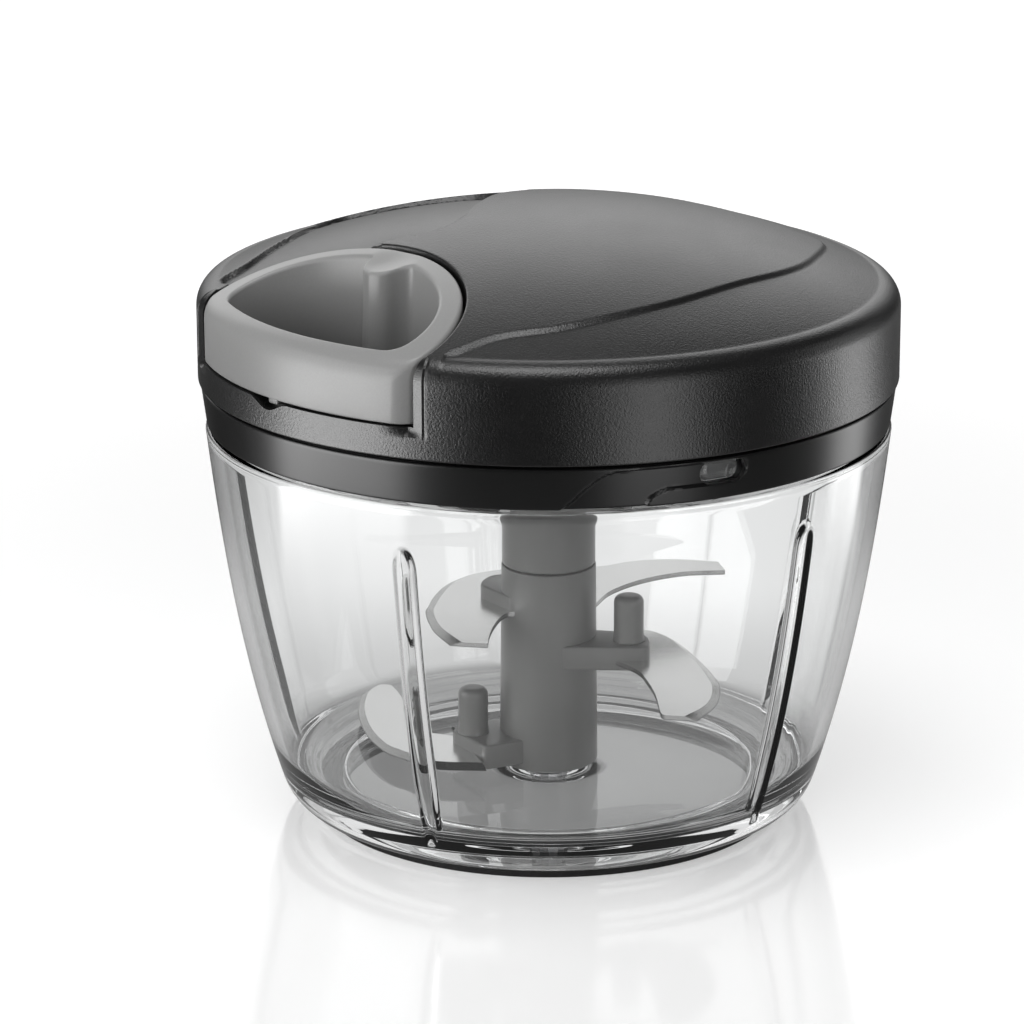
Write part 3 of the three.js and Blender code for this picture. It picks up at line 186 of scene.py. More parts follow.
class ChopperStageSettings(bpy.types.PropertyGroup):
    """The floor, lamps and camera."""

    camera_distance: length("Camera distance", "Distance from the camera to the object's axis", 918)
    aim_height: length("Aim height", "Height that the camera aims at", 61.7)
    camera_lens: number("Lens", "Focal length in millimetres", 156.6)
    camera_pitch: number("Pitch", "How far the camera looks down", math.radians(16.82), subtype="ANGLE")
    camera_shift: number("Shift", "Sideways shift of the frame", -0.0358)
    floor_width: length("Floor width", "Width of the floor", 8000)
    floor_glow: number("Floor glow", "Added light of the floor near the object", 0.3)
    sky: number("Sky light", "Strength of the even light", 0.3)
    dim_sky: number("Dim sky", "Sky seen by reflection", 0.05)
    clear_sky: number("Clear sky", "Sky seen through the bowl", 0.65)
    sheet_glow: number("Sheet", "Floor seen through the bowl", 1.0)
    sheet_dim: number("Sheet's sides", "The same beside the bowl", 0.56)
    # Painted shadow: the share of the sheet's light that is left under the bowl.
    sheet_shadow_under: number("Sheet under", "The same under the bowl, as a share", 0.26)
    wall_glow: number("Wall glow", "Wall behind, seen through the bowl", 0.85)
    wall_shine: number("Wall shine", "Wall behind, seen by reflection", 1.9)


# Shapes of curves and profiles


def smooth(low, high, x):
    """Rises from 0 at low to 1 at high as t * t * (3 - 2 t)."""
    t = np.clip((x - low) / (high - low), 0, 1)
    return t * t * (3 - 2 * t)


def soft_min(p, q, width):
    """The smaller of p and q, rounded where they meet: it mixes q to p by h and takes off width * h * (1 - h)."""
    h = np.clip(0.5 + 0.5 * (q - p) / width, 0, 1)
    return q + (p - q) * h - width * h * (1 - h)


def soft_max(p, q, width):
    """The larger of p and q, rounded where they meet."""
    return -soft_min(-p, -q, width)


def arc(centre, radius, start, end, count):
    """Points centre + radius * (cos a, sin a), with a from start to end in turns."""
    a = np.linspace(start, end, count) * TURN
    return np.stack([centre[0] + radius * np.cos(a), centre[1] + radius * np.sin(a)], -1)


def eased(corners, rounding, count=6):
    """A polyline with rounded corners: a corner C becomes (1-t)^2 A + 2t(1-t) C + t^2 B.

    A and B lie the corner's rounding before and after it.
    """
    corners = np.array(corners, float)
    t = np.linspace(0, 1, count)[:, None]
    parts = []
    for i, reach in enumerate(rounding):
        here = corners[i]
        if not reach:
            parts.append(here[None])
            continue
        before = corners[i - 1] - here
        after = corners[(i + 1) % len(corners)] - here
        a = here + before * reach / np.linalg.norm(before)
        b = here + after * reach / np.linalg.norm(after)
        parts.append((1 - t) ** 2 * a + 2 * t * (1 - t) * here + t**2 * b)
    return np.concatenate(parts)


def rounded(rows, count=6):
    """An eased polyline from rows (x, y, rounding) in millimetres, in metres."""
    table = np.array(rows, float)
    return eased(table[:, :2], table[:, 2], count) * MM


def through(points, count, closed=False):
    """A Catmull-Rom curve through the points, at even steps of its parameter."""
    p = np.array(points, float)
    spans = len(p) if closed else len(p) - 1
    ends = (p[-1:], p[:2]) if closed else (2 * p[:1] - p[1:2], 2 * p[-1:] - p[-2:-1])
    padded = np.vstack([ends[0], p, ends[1]])
    s = np.linspace(0, spans, count, endpoint=not closed)
    i = np.minimum(s.astype(int), spans - 1)
    t = (s - i)[:, None]
    a, b, c, d = (padded[i + k] for k in range(4))
    return 0.5 * (2 * b + (c - a) * t + (2 * a - 5 * b + 4 * c - d) * t**2 + (3 * b - a - 3 * c + d) * t**3)


def normals_of(outline):
    """Unit normals of a closed outline that runs counter-clockwise, pointing outwards."""
    along = np.roll(outline, -1, 0) - np.roll(outline, 1, 0)
    along /= np.linalg.norm(along, axis=1)[:, None]
    return np.stack([along[:, 1], -along[:, 0]], -1)


def counter_clockwise(outline):
    """The outline, turned round if it runs clockwise."""
    x, y = outline.T
    area = np.sum(x * np.roll(y, -1) - np.roll(x, -1) * y)
    return outline if area > 0 else outline[::-1]


def inside_by(points, outline):
    """How far each point lies inside a closed outline: the least distance to its sides, negative outside."""
    a = outline
    b = np.roll(outline, -1, 0)
    side = b - a
    to = points[:, None] - a
    t = np.clip(np.sum(to * side, -1) / np.sum(side * side, -1), 0, 1)
    distance = np.linalg.norm(to - t[..., None] * side, axis=-1).min(1)
    above_a = a[:, 1] > points[:, 1:2]
    above_b = b[:, 1] > points[:, 1:2]
    rise = np.where(side[:, 1] == 0, 1, side[:, 1])
    crossing = a[:, 0] + (points[:, 1:2] - a[:, 1]) * side[:, 0] / rise
    odd = np.sum((above_a != above_b) & (points[:, :1] < crossing), 1) % 2
    return np.where(odd == 1, distance, -distance)


def turned_about(points, angle):
    """The points (x, y, ...) turned about Z."""
    x, y = points[..., 0], points[..., 1]
    turned = points.copy()
    turned[..., 0] = x * math.cos(angle) - y * math.sin(angle)
    turned[..., 1] = x * math.sin(angle) + y * math.cos(angle)
    return turned


def ring_of(r, a, z):
    """Points (r cos a, r sin a, z), with radii, angles and heights that spread over one another."""
    x = r * np.cos(a)
    return np.stack([x, r * np.sin(a), z + 0 * x], -1)


def raised(plan, height):
    """Points (x, y, z) from a plan's points (x, y) and heights that spread over them."""
    return np.concatenate([plan, np.broadcast_to(height, plan.shape[:-1])[..., None]], -1)


# Meshes


def filled(mesh, form):
    """Puts a form into a mesh, and sets which edges stay sharp."""
    form.to_mesh(mesh)
    form.free()
    mesh.shade_smooth()
    mesh.set_sharp_from_angle(angle=SHARP)


def settle(mesh):
    """Merges doubled points and turns the faces outwards."""
    form = bmesh.new()
    form.from_mesh(mesh)
    bmesh.ops.remove_doubles(form, verts=form.verts, dist=WELD)
    if form.calc_volume(signed=True) < 0:
        bmesh.ops.reverse_faces(form, faces=form.faces)
    filled(mesh, form)


def surface(name, points, ring=False, capped=False):
    """A mesh through a grid of points whose rows close on themselves.

    With ring the last row joins the first. With capped the first and last rows are filled.
    """
    rows, columns = points.shape[:2]
    index = np.arange(rows * columns).reshape(rows, columns)
    if ring:
        index = np.vstack([index, index[:1]])
    index = np.hstack([index, index[:, :1]])
    quads = np.stack([index[:-1, :-1], index[:-1, 1:], index[1:, 1:], index[1:, :-1]], -1)
    faces = quads.reshape(-1, 4).tolist()
    if capped:
        faces += [index[0, :-1][::-1].tolist(), index[-1, :-1].tolist()]
    mesh = bpy.data.meshes.new(name)
    mesh.from_pydata(points.reshape(-1, 3).tolist(), [], faces)
    settle(mesh)
    return linked(name, mesh)


def revolved(name, profile, columns, ring=False, centre=(0, 0)):
    """Each point (r, z) of the profile sweeps a circle: x = r cos a, y = r sin a."""
    a = np.arange(columns) / columns * TURN
    r, z = np.array(profile).T[:, :, None]
    return surface(name, ring_of(r, a, z) + [*centre, 0], ring=ring)


def slab(name, outline, bottom, top, rounding, steps=5):
    """A flat plate from a closed outline. Its edges are quarter circles.

    At angle t an edge row lies rounding * (1 - sin t) inside the outline, rounding * (1 - cos t) from the face.
    """
    outline = counter_clockwise(np.array(outline))
    t = np.linspace(0, TURN / 4, steps)
    inset = rounding * (1 - np.sin(t))
    lift = rounding * (1 - np.cos(t))
    insets = np.concatenate([inset, inset[::-1]])
    heights = np.concatenate([bottom + lift, top - lift[::-1]])
    flat = outline[None] - normals_of(outline)[None] * insets[:, None, None]
    return surface(name, raised(flat, heights[:, None]), capped=True)


def tube(name, path, radius, sides=16):
    """A round tube along a path. Its rings lie in planes square to the path, turned as little as can be."""
    way = np.gradient(path, axis=0)
    way /= np.linalg.norm(way, axis=1)[:, None]
    up = np.zeros_like(path)
    up[0] = np.cross(way[0], [0.3, 0.2, 1])
    for i in range(1, len(path)):
        up[i] = up[i - 1] - way[i] * np.dot(up[i - 1], way[i])
        up[i] /= np.linalg.norm(up[i])
    up[0] /= np.linalg.norm(up[0])
    side = np.cross(way, up)
    a = np.arange(sides) / sides * TURN
    ring = np.cos(a)[None, :, None] * up[:, None] + np.sin(a)[None, :, None] * side[:, None]
    return surface(name, path[:, None] + radius * ring, capped=True)


def carved(thing, cutter):
    """Cuts one closed mesh with another, and drops the cutter."""
    cut = thing.modifiers.new("cut", "BOOLEAN")
    cut.operation = "DIFFERENCE"
    cut.solver = "EXACT"
    cut.object = cutter
    bpy.context.view_layer.update()
    graph = bpy.context.evaluated_depsgraph_get()
    mesh = bpy.data.meshes.new_from_object(thing.evaluated_get(graph))
    thing.modifiers.clear()
    thing.data = mesh
    bpy.data.objects.remove(cutter)
    settle(mesh)


def linked(name, data):
    """A new object in the scene."""
    thing = bpy.data.objects.new(name, data)
    bpy.context.scene.collection.objects.link(thing)
    return thing


def places_of(thing):
    """The places of a mesh's points, as one array."""
    flat = np.empty(3 * len(thing.data.vertices))
    thing.data.vertices.foreach_get("co", flat)
    return flat.reshape(-1, 3)


def upended(thing, reach, height, angle):
    """Turns a piece that lies flat about the origin upright, facing out at a reach and height, then about Z."""
    x, y, z = places_of(thing).T
    upright = turned_about(np.stack([reach + z, x, height + y], -1), angle)
    thing.data.vertices.foreach_set("co", upright.ravel())
    settle(thing.data)
    return thing


def joined(name, things):
    """One object that holds the meshes of several."""
    form = bmesh.new()
    for thing in things:
        form.from_mesh(thing.data)
        bpy.data.objects.remove(thing)
    mesh = bpy.data.meshes.new(name)
    filled(mesh, form)
    return linked(name, mesh)


def painted(thing, finish):
    """Gives a piece its finish as its one material."""
    thing.data.materials.clear()
    thing.data.materials.append(finish_named(finish))


def dressed(thing, body, finish, *nodes):
    """Gives a piece its finish and its body, and hides the CAD nodes that it stands for."""
    painted(thing, finish)
    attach(thing, body)
    if nodes:
        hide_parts(*nodes)


def lathed(name, rows, columns, *dress):
    """A piece turned from a closed profile of rows (r, z, rounding) in millimetres, and dressed."""
    dressed(revolved(name, rounded(rows), columns, ring=True), *dress)


# Finishes

FINISH = "{}_finish"


class Value:
    """A shader socket. Python's operators on it add Math nodes."""

    def __init__(self, paint, socket):
        self.paint = paint
        self.socket = socket

    def math(self, operation, *terms):
        """A Math node's result on its terms, which are numbers or sockets."""
        return self.paint.node("ShaderNodeMath", {"operation": operation}, dict(enumerate(terms)))

    def __add__(self, other):
        return self.math("ADD", self, other)

    __radd__ = __add__

    def __sub__(self, other):
        return self.math("SUBTRACT", self, other)

    def __rsub__(self, other):
        return self.math("SUBTRACT", other, self)

    def __mul__(self, other):
        return self.math("MULTIPLY", self, other)

    __rmul__ = __mul__

    def __abs__(self):
        return self.math("ABSOLUTE", self)


class Paint:
    """The nodes of a new material, or of a tree that is there."""

    def __init__(self, name, tree=None):
        if tree is None:
            self.material = bpy.data.materials.new(FINISH.format(name))
            self.material.use_nodes = True
            tree = self.material.node_tree
            tree.nodes.clear()
        self.tree = tree

    def node(self, kind, settings=None, sockets=None, output=0):
        """Adds a node: its settings are set first, then the values or links of its sockets."""
        made = self.tree.nodes.new(kind)
        for key, value in (settings or {}).items():
            setattr(made, key, value)
        for key, value in (sockets or {}).items():
            if isinstance(value, Value):
                self.tree.links.new(value.socket, made.inputs[key])
            else:
                made.inputs[key].default_value = value
        return Value(self, made.outputs[output]) if made.outputs else made

    def place(self, scale=(1, 1, 1)):
        """Object coordinates, stretched."""
        here = self.node("ShaderNodeTexCoord", output="Object")
        return self.node("ShaderNodeMapping", sockets={"Vector": here, "Scale": scale})

    def along(self, axis):
        """One of the Object coordinates."""
        return self.node("ShaderNodeSeparateXYZ", sockets={"Vector": self.place()}, output=axis)

    def ray(self, kind):
        """1 for rays of a kind, else 0."""
        return self.node("ShaderNodeLightPath", output=f"Is {kind} Ray")

    def glow(self, strength):
        """White light of a strength."""
        return self.node("ShaderNodeEmission", sockets={"Color": WHITE, "Strength": strength})

    def mixed(self, mask, first, second):
        """The first shader where the mask is 0, and the second where it is 1."""
        return self.node("ShaderNodeMixShader", sockets={0: mask, 1: first, 2: second})

    def noise(self, scale, detail=2, roughness=0.5, stretch=(1, 1, 1)):
        """A cloud of values around a half, with scale features to the metre."""
        sockets = {"Vector": self.place(stretch), "Scale": scale, "Detail": detail, "Roughness": roughness}
        return self.node("ShaderNodeTexNoise", sockets=sockets)

    def tinted(self, mask, low, high):
        """A colour that goes from low, a colour or a socket, to high as the mask goes from 0 to 1."""
        low = low if isinstance(low, Value) else (*low, 1)
        return self.node("ShaderNodeMix", {"data_type": "RGBA"}, {0: mask, 6: low, 7: (*high, 1)}, output=2)

    def ramp(self, value, low, high, at_low, at_high):
        """A smooth step from one number to another, as a value goes from low to high."""
        sockets = {"Value": value, "From Min": low, "From Max": high, "To Min": at_low, "To Max": at_high}
        return self.node("ShaderNodeMapRange", {"interpolation_type": "SMOOTHSTEP"}, sockets)

    def bump(self, height, distance, strength=1.0):
        """A normal from a height in shares of distance."""
        return self.node("ShaderNodeBump", sockets={"Height": height, "Distance": distance, "Strength": strength})

    def shader(self, **sockets):
        """A Principled shader; words in a socket's name are joined by underscores."""
        named = {key.replace("_", " ").title().replace("Ior", "IOR"): value for key, value in sockets.items()}
        return self.node("ShaderNodeBsdfPrincipled", sockets=named, output="BSDF")

    def done(self, shader):
        """The material, with the shader on its surface."""
        self.node("ShaderNodeOutputMaterial", sockets={"Surface": shader})
        return self.material


def shades_of(tint, spread):
    """A darker and a lighter shade of a colour."""
    return [tuple(min(1, part * scale) for part in tint) for scale in (1 - spread, 1 + spread)]


def moulded(name, tint, roughness, grain, depth, spread=0.04, level=0.5):
    """Moulded plastic: a fine grain of bumps and shades, and faint clouds of gloss."""
    paint = Paint(name)
    cloud = paint.noise(45, detail=3)
    fine = paint.noise(grain, roughness=0.6)
    return paint.done(paint.shader(
        base_color=paint.tinted(fine, *shades_of(tint, spread * 4)),
        roughness=roughness - 0.05 + cloud * 0.1,
        specular_ior_level=level,
        normal=paint.bump(fine, depth),
    ))


def scratched(paint, shade, roughness, stretch):
    """Metal of a shade with fine scratches along one way, which change its gloss and its normal."""
    scratch = paint.noise(900, detail=4, roughness=0.7, stretch=stretch)
    normal = paint.bump(scratch, 0.01 * MM, 0.4)
    return paint.done(paint.shader(
        base_color=shade, metallic=1.0, roughness=roughness + scratch * 0.12, normal=normal
    ))


def ground_steel(name, tint, roughness, stretch):
    """Steel with clouds of a little darker and lighter shade."""
    paint = Paint(name)
    return scratched(paint, paint.tinted(paint.noise(60), *shades_of(tint, 0.05)), roughness, stretch)


def blade_steel(name, tint, roughness):
    """Ground steel with painted shade: its bevel is painted darker than its flat top, and its cutting edge and
    underside darker still.

    The attribute level is 0 under a blade and 1 on its flat top, and falls to a tenth at the edge.
    """
    # Painted shade: a darker grey on the bevel, and a dark grey on the cutting edge and the whole underside.
    bevel, edge_and_underside_shade = (0.42, 0.42, 0.415), (0.22, 0.22, 0.22)
    paint = Paint(name)
    level = paint.node("ShaderNodeAttribute", {"attribute_name": "level"}, output="Fac")
    flat = paint.tinted(paint.ramp(level, 0.975, 0.995, 0.0, 1.0), bevel, tint)
    shade = paint.tinted(paint.ramp(level, 0.13, 0.22, 1.0, 0.0), flat, edge_and_underside_shade)
    return scratched(paint, shade, roughness, (0.12, 1, 1))


def clear_plastic(name, tint):
    """Clear plastic with a faint haze. Rays to the lamps pass it, so that what is inside is lit."""
    paint = Paint(name)
    haze = paint.noise(70, detail=3)
    glass = paint.shader(
        base_color=(*tint, 1),
        roughness=0.0005 + haze * 0.001,
        ior=1.49,
        transmission_weight=1.0,
    )
    film = paint.node("ShaderNodeBsdfTransparent", sockets={"Color": (0.97, 0.972, 0.972, 1)})
    return paint.done(paint.mixed(paint.ray("Shadow"), glass, film))


def braided(name, tint):
    """Braided cord: two sets of slanting strands, from sines of x, y and z."""
    paint = Paint(name)
    strands = paint.node(
        "ShaderNodeTexWave",
        {"wave_type": "BANDS", "bands_direction": "DIAGONAL"},
        {"Vector": paint.place(), "Scale": 900, "Distortion": 2.0},
    )
    fibre = paint.noise(4000, detail=3)
    height = strands * 0.7 + fibre * 0.3
    return paint.done(paint.shader(
        base_color=paint.tinted(height, *shades_of(tint, 0.18)),
        roughness=0.75 + fibre * 0.15,
        normal=paint.bump(height, 0.12 * MM),
    ))


def make_finish(name):
    """The material of one of the record's slots."""
    look = bpy.context.scene.chopper_finishes
    makers = {
        "clear_plastic": lambda: clear_plastic(name, look.clear),
        "foot_rubber": lambda: moulded(name, look.rubber, 0.75, 2500, 0.05 * MM, 0.1),
        "steel": lambda: ground_steel(name, look.steel, 0.24, (1, 1, 0.1)),
        "blade_steel": lambda: blade_steel(name, look.blade, 0.16),
        "grey_plastic": lambda: moulded(name, look.grey, 0.30, 4000, 0.001 * MM, 0.012),
        "white_plastic": lambda: moulded(name, look.white, 0.45, 1800, 0.01 * MM),
        "gasket_silicone": lambda: moulded(name, look.silicone, 0.55, 1500, 0.01 * MM),
        "ring_plastic": lambda: moulded(name, look.ring, look.ring_roughness, 2600, 0.003 * MM, 0.05),
        "cover_plastic": lambda: moulded(name, look.cover, look.cover_roughness, 2300, 0.075 * MM, 0.06, 0.75),
        "handle_plastic": lambda: moulded(name, look.handle, look.handle_roughness, 2600, 0.002 * MM, 0.02),
        "cord_fibre": lambda: braided(name, look.cord),
    }
    return makers[name]()


def finish_named(name):
    """The material of a slot, made once."""
    return bpy.data.materials.get(FINISH.format(name)) or make_finish(name)


# Bowl

# The floor's thickness in millimetres, and the bore where the wall passes from side to neck
UNDER_FLOOR = 2.4
NECK_PASS = 66.1 * MM
LUG_HEIGHT, LUG_RADIUS, LUG_STRAIGHT = 88.4 * MM, 2.25 * MM, 2.3 * MM
LUG_STANDING, LUG_SUNK = 0.62, 0.4 * MM
# Heights past which a groove runs out, how it differs inside, and where its columns lie past its half width
GROOVE_START, GROOVE_END = 10 * MM, 67.4 * MM
INSIDE_WIDER, INSIDE_DEEPER, INSIDE_CREST = 0.9 * MM, 0.6 * MM, 2.6 * MM
FLANK = np.array([
    0.05, 0.12, 0.2, 0.32, 0.5, 0.65, 0.8, 0.88, 0.95, 1.02, 1.1, 1.22, 1.4, 1.7, 2.1, 2.7, 3.6,
]) * MM


def side_radius(height):
    """Outer radius of the bowl's side: a cubic of the height over 15 mm, which steepens upwards."""
    s = height - 15 * MM
    return 58.0 * MM + 0.29 * s - 2.25 * s**2 + 9.3 * s**3


def groove_crest(height, sizes):
    """Radius of a groove's bottom: the side's radius less a depth that fades to the foot.

    Past both ends the bottom runs out through the side, as a power of the distance.
    """
    depth = sizes.groove_depth * (0.45 + 0.55 * smooth(7 * MM, 26 * MM, height))
    above = np.clip((height - GROOVE_END) / (8 * MM), 0, None) ** 2.6 * 4.6 * MM
    below = np.clip((GROOVE_START - height) / (3 * MM), 0, None) ** 2 * 2.5 * MM
    return side_radius(height) - depth + above + below


def bowl_profile(sizes):
    """Rows (radius, height, 1 if inside) of the bowl.

    They run from the middle of the underside out, up the outside, over the rim, down the inside and along the floor.
    """
    floor, low, top, rim = (
        size / MM for size in (sizes.floor_top, sizes.stand_height, sizes.shoulder_height, sizes.rim_height)
    )
    neck, bore = sizes.neck_radius / MM, sizes.neck_inner / MM
    under = floor - UNDER_FLOOR
    foot = rounded([
        (0, 2.4, 0), (3.6, 2.4, 2.4), (9.5, under, 4), (43, under, 0.8), (43, low, 0.4), (44.3, low, 0),
        (44.3, 2.4, 0), (45.9, 2.4, 0), (45.9, low, 0), (48, low, 0),
    ])
    middle = (sizes.foot_radius, sizes.stand_height + sizes.corner_radius)
    corner = arc(middle, sizes.corner_radius, -0.25, -0.05, 12)[1:]
    heights = np.concatenate([np.linspace(8, 62, 40), np.linspace(62.6, 76, 30), np.linspace(76.8, 81.4, 5)]) * MM
    side = np.stack([side_radius(heights), heights], -1)
    shoulder = rounded([
        (*side[-1] / MM, 0), (sizes.shoulder_radius / MM, top, 0.5), (neck, top + 0.7, 0.5), (neck, rim, 0.5),
        (bore, rim, 0.5), (bore, 86, 0),
    ])[1:]
    heights = np.concatenate([np.linspace(85.6, 79.5, 15), np.linspace(79, 60, 30), np.linspace(59, 15, 36)]) * MM
    radius = side_radius(heights) - sizes.wall
    radius += (NECK_PASS - radius) * smooth(80 * MM, 82.6 * MM, heights)
    radius += (sizes.neck_inner - radius) * smooth(83.6 * MM, 85.6 * MM, heights)
    inner = np.stack([radius, heights], -1)
    basin = rounded([
        (*inner[-1] / MM, 0), (53.6, floor + 2, 1.9), (50.9, floor + 2, 0.35), (49.9, floor + 1, 0.35),
        (49, floor + 1, 0.35), (48, floor, 0.4), (0, floor, 0),
    ])[1:]
    outside = np.vstack([foot, corner, side, shoulder])
    inside = np.vstack([inner, basin])
    marks = np.repeat([0, 1], [len(outside), len(inside)])
    return np.column_stack([np.vstack([outside, inside]), marks])


def bowl_points(sizes):
    """The bowl's grid. A column is a distance a from the middle of a groove, or a share of the way to the next.

    In a groove's own frame, with x outwards, a plain point is (sqrt(r^2 - a^2), a). The groove is a parabola,
    x = c + d (a / w)^2, with c its crest, d its depth and w its half width. The wall is the smaller of both, rounded.
    Inside, the groove is wider at each side and deeper, and its crest lies further in.
    """
    r, z, inside = bowl_profile(sizes).T[:, :, None]
    half_width = sizes.groove_half_width
    near = np.concatenate([half_width * np.sin(np.linspace(0, TURN / 4, 8)), half_width + FLANK])
    a = np.concatenate([-near[:0:-1], near])[None]
    wide = np.maximum(r, 50 * MM)
    turn = np.arcsin(a / wide)
    x, y = r * np.cos(turn), r * np.sin(turn)
    deep = sizes.groove_depth + inside * INSIDE_DEEPER
    rise = deep * (y / (half_width + inside * INSIDE_WIDER)) ** 2
    groove = groove_crest(z, sizes) - inside * INSIDE_CREST + rise
    x = soft_min(x, groove, np.where(inside > 0, 0.7, 0.45) * MM)
    zone = np.stack([x, y, z + 0 * x], -1)
    end = np.arcsin(near[-1] / wide)
    between = ring_of(r, end + (TURN / GROOVE_COUNT - 2 * end) * np.arange(1, 25) / 25, z)
    fifth = np.concatenate([zone, between], 1)
    turns = GROOVE_ANGLE + np.arange(GROOVE_COUNT) * TURN / GROOVE_COUNT
    return np.concatenate([turned_about(fifth, turn) for turn in turns], 1)


def lug_points(sizes, angle):
    """A lug's grid: half round sections across it, whose radius falls as a quarter circle at both ends."""
    t = np.linspace(-1, 1, 25) * TURN / 4
    size = np.concatenate([np.cos(t[:12]), [1, 1], np.cos(t[13:])])[:, None] * LUG_RADIUS
    size = np.maximum(size, 0.02 * MM)
    ends = np.sin(t) * LUG_RADIUS
    along = np.concatenate([ends[:12] - LUG_STRAIGHT, [-LUG_STRAIGHT, LUG_STRAIGHT], ends[13:] + LUG_STRAIGHT])
    along = along[:, None]
    a = np.linspace(-0.25, 0.25, 15) * TURN
    out = sizes.neck_radius - 0.1 * MM + size * np.cos(a) * LUG_STANDING
    out = np.concatenate([out, np.full(along.shape, sizes.neck_radius - LUG_SUNK)], 1)
    height = LUG_HEIGHT + np.concatenate([size * np.sin(a), 0 * along], 1)
    return turned_about(np.stack([out, along + 0 * out, height], -1), angle)


class CHOPPER_OT_bowl(bpy.types.Operator):
    """Makes the clear bowl with its five grooves, and the three lugs at its rim"""

    bl_idname = "chopper.bowl"
    bl_label = "Bowl"

    def execute(self, context):
        sizes = context.scene.chopper_bowl
        dressed(surface("bowl_shell", bowl_points(sizes)), "bowl", "clear_plastic", "bowl")
        for i in range(LUG_COUNT):
            lug = surface(f"bowl_lug_{i + 1}", lug_points(sizes, LUG_ANGLE + i * TURN / LUG_COUNT), capped=True)
            dressed(lug, "bowl", "clear_plastic")
        return {"FINISHED"}


class CHOPPER_OT_foot(bpy.types.Operator):
    """Makes the dark non-slip ring under the bowl, with its rib"""

    bl_idname = "chopper.foot"
    bl_label = "Foot ring"

    def execute(self, context):
        top = context.scene.chopper_bowl.stand_height / MM - 0.25
        profile = [
            (43.6, 0, 0.35), (48.4, 0, 0.35), (48.4, top, 0.3), (45.6, top, 0), (45.6, 2.2, 0.25), (44.6, 2.2, 0.25),
            (44.6, top, 0), (43.6, top, 0.3),
        ]
        lathed("foot_grip", profile, 160, "bowl", "foot_rubber", "foot_ring")
        return {"FINISHED"}


# Spindle, arms, pegs and blades

# Edges are shares of the blades' reach, and arms and pegs shares of the spindle's foot radius
BLADES = {
    "upper": {
        "height": 42.2 * MM,
        "outer": [
            (-0.372, -0.488), (-0.447, -0.293), (-0.476, -0.122), (-0.472, -0.008), (-0.423, 0.212),
            (-0.363, 0.333), (-0.273, 0.423), (-0.12, 0.476), (0.06, 0.488), (0.2, 0.5), (0.325, 0.566),
            (0.492, 0.59), (0.675, 0.555),
        ],
        "inner": [
            (-0.229, -0.515), (-0.224, -0.404), (-0.209, -0.293), (-0.175, -0.166), (-0.12, -0.128),
            (0.0, -0.12), (0.15, -0.08), (0.24, 0.13), (0.367, 0.28), (0.532, 0.378), (0.707, 0.402),
        ],
        "arm": [
            (-0.3, 0.3), (-0.92, 1.02), (-1.2, 0.92), (-1.38, 0.56), (-1.4, 0.25), (-0.73, -0.66), (0, -0.5),
        ],
    },
    "middle": {
        "height": 32.7 * MM,
        "outer": [
            (0.24, 0.21), (0.38, 0.233), (0.482, 0.131), (0.573, -0.108), (0.635, -0.343), (0.649, -0.477),
            (0.624, -0.663), (0.545, -0.838),
        ],
        "inner": [
            (0.25, -0.172), (0.34, -0.3), (0.374, -0.424), (0.401, -0.583), (0.414, -0.779), (0.427, -0.817),
        ],
        "arm": [
            (0, 0.3), (1, 0.18), (1.88, -0.02), (2.02, -0.25), (2.06, -0.72), (1.98, -1.02), (1.5, -0.98),
            (-0.2, -0.92),
        ],
        "peg": (1.62, -0.5),
    },
    "lower": {
        "height": 12 * MM,
        "outer": [
            (-0.24, -0.31), (-0.44, -0.293), (-0.541, -0.207), (-0.617, -0.133), (-0.667, -0.053),
            (-0.714, 0.062), (-0.748, 0.195), (-0.771, 0.338), (-0.774, 0.457), (-0.767, 0.56), (-0.74, 0.636),
        ],
        "inner": [
            (-0.36, 0.03), (-0.5, 0.1), (-0.564, 0.261), (-0.583, 0.417), (-0.613, 0.543), (-0.643, 0.624),
            (-0.671, 0.655),
        ],
        "arm": [
            (-0.3, 0.5), (-0.96, 0.55), (-1.91, 0.02), (-1.97, -0.2), (-1.28, -1.24), (-0.55, -0.88), (0, -0.5),
        ],
        "peg": (-1.54, -0.3),
    },
}
BLADE_STATIONS = 96
BEVEL_SHARP = math.radians(8)
# Half the gap between spindle and drive tube, in millimetres
SEAM_GAP = 0.12
ARM_DROP, ARM_RISE = 1.8 * MM, 3.3 * MM
ARM_CORNER, ARM_EDGE = 1.6 * MM, 0.45 * MM
PEG_HEIGHT = 9.8 * MM


def blade_points(plan, sizes):
    """A blade's grid. A row is a station from root to tip, between its inner and outer edge.

    Across it, points run over the top and back under it. The top falls in a straight line over the bevel's width
    to the thin cutting edge: height = edge + (thickness - edge) * min(1, distance from the edge / bevel).
    """
    outer = through(plan["outer"], BLADE_STATIONS) * sizes.reach
    inner = through(plan["inner"], BLADE_STATIONS) * sizes.reach
    width = np.linalg.norm(outer - inner, axis=1)[:, None]
    bevel = np.minimum(sizes.bevel, 0.6 * width)
    over = np.concatenate([
        np.linspace(0, 1, 7) * (width - bevel),
        width - bevel + np.linspace(0.05, 1, 8) * bevel,
    ], 1)
    fall = np.clip((width - over) / bevel, 0, 1)
    top = sizes.edge + (sizes.thickness - sizes.edge) * fall
    across = np.concatenate([over, over[:, ::-1]], 1) / width
    bottom = plan["height"] - sizes.thickness / 2
    height = bottom + np.concatenate([top, 0 * top], 1)
    return raised(inner[:, None] + (outer - inner)[:, None] * across[..., None], height)


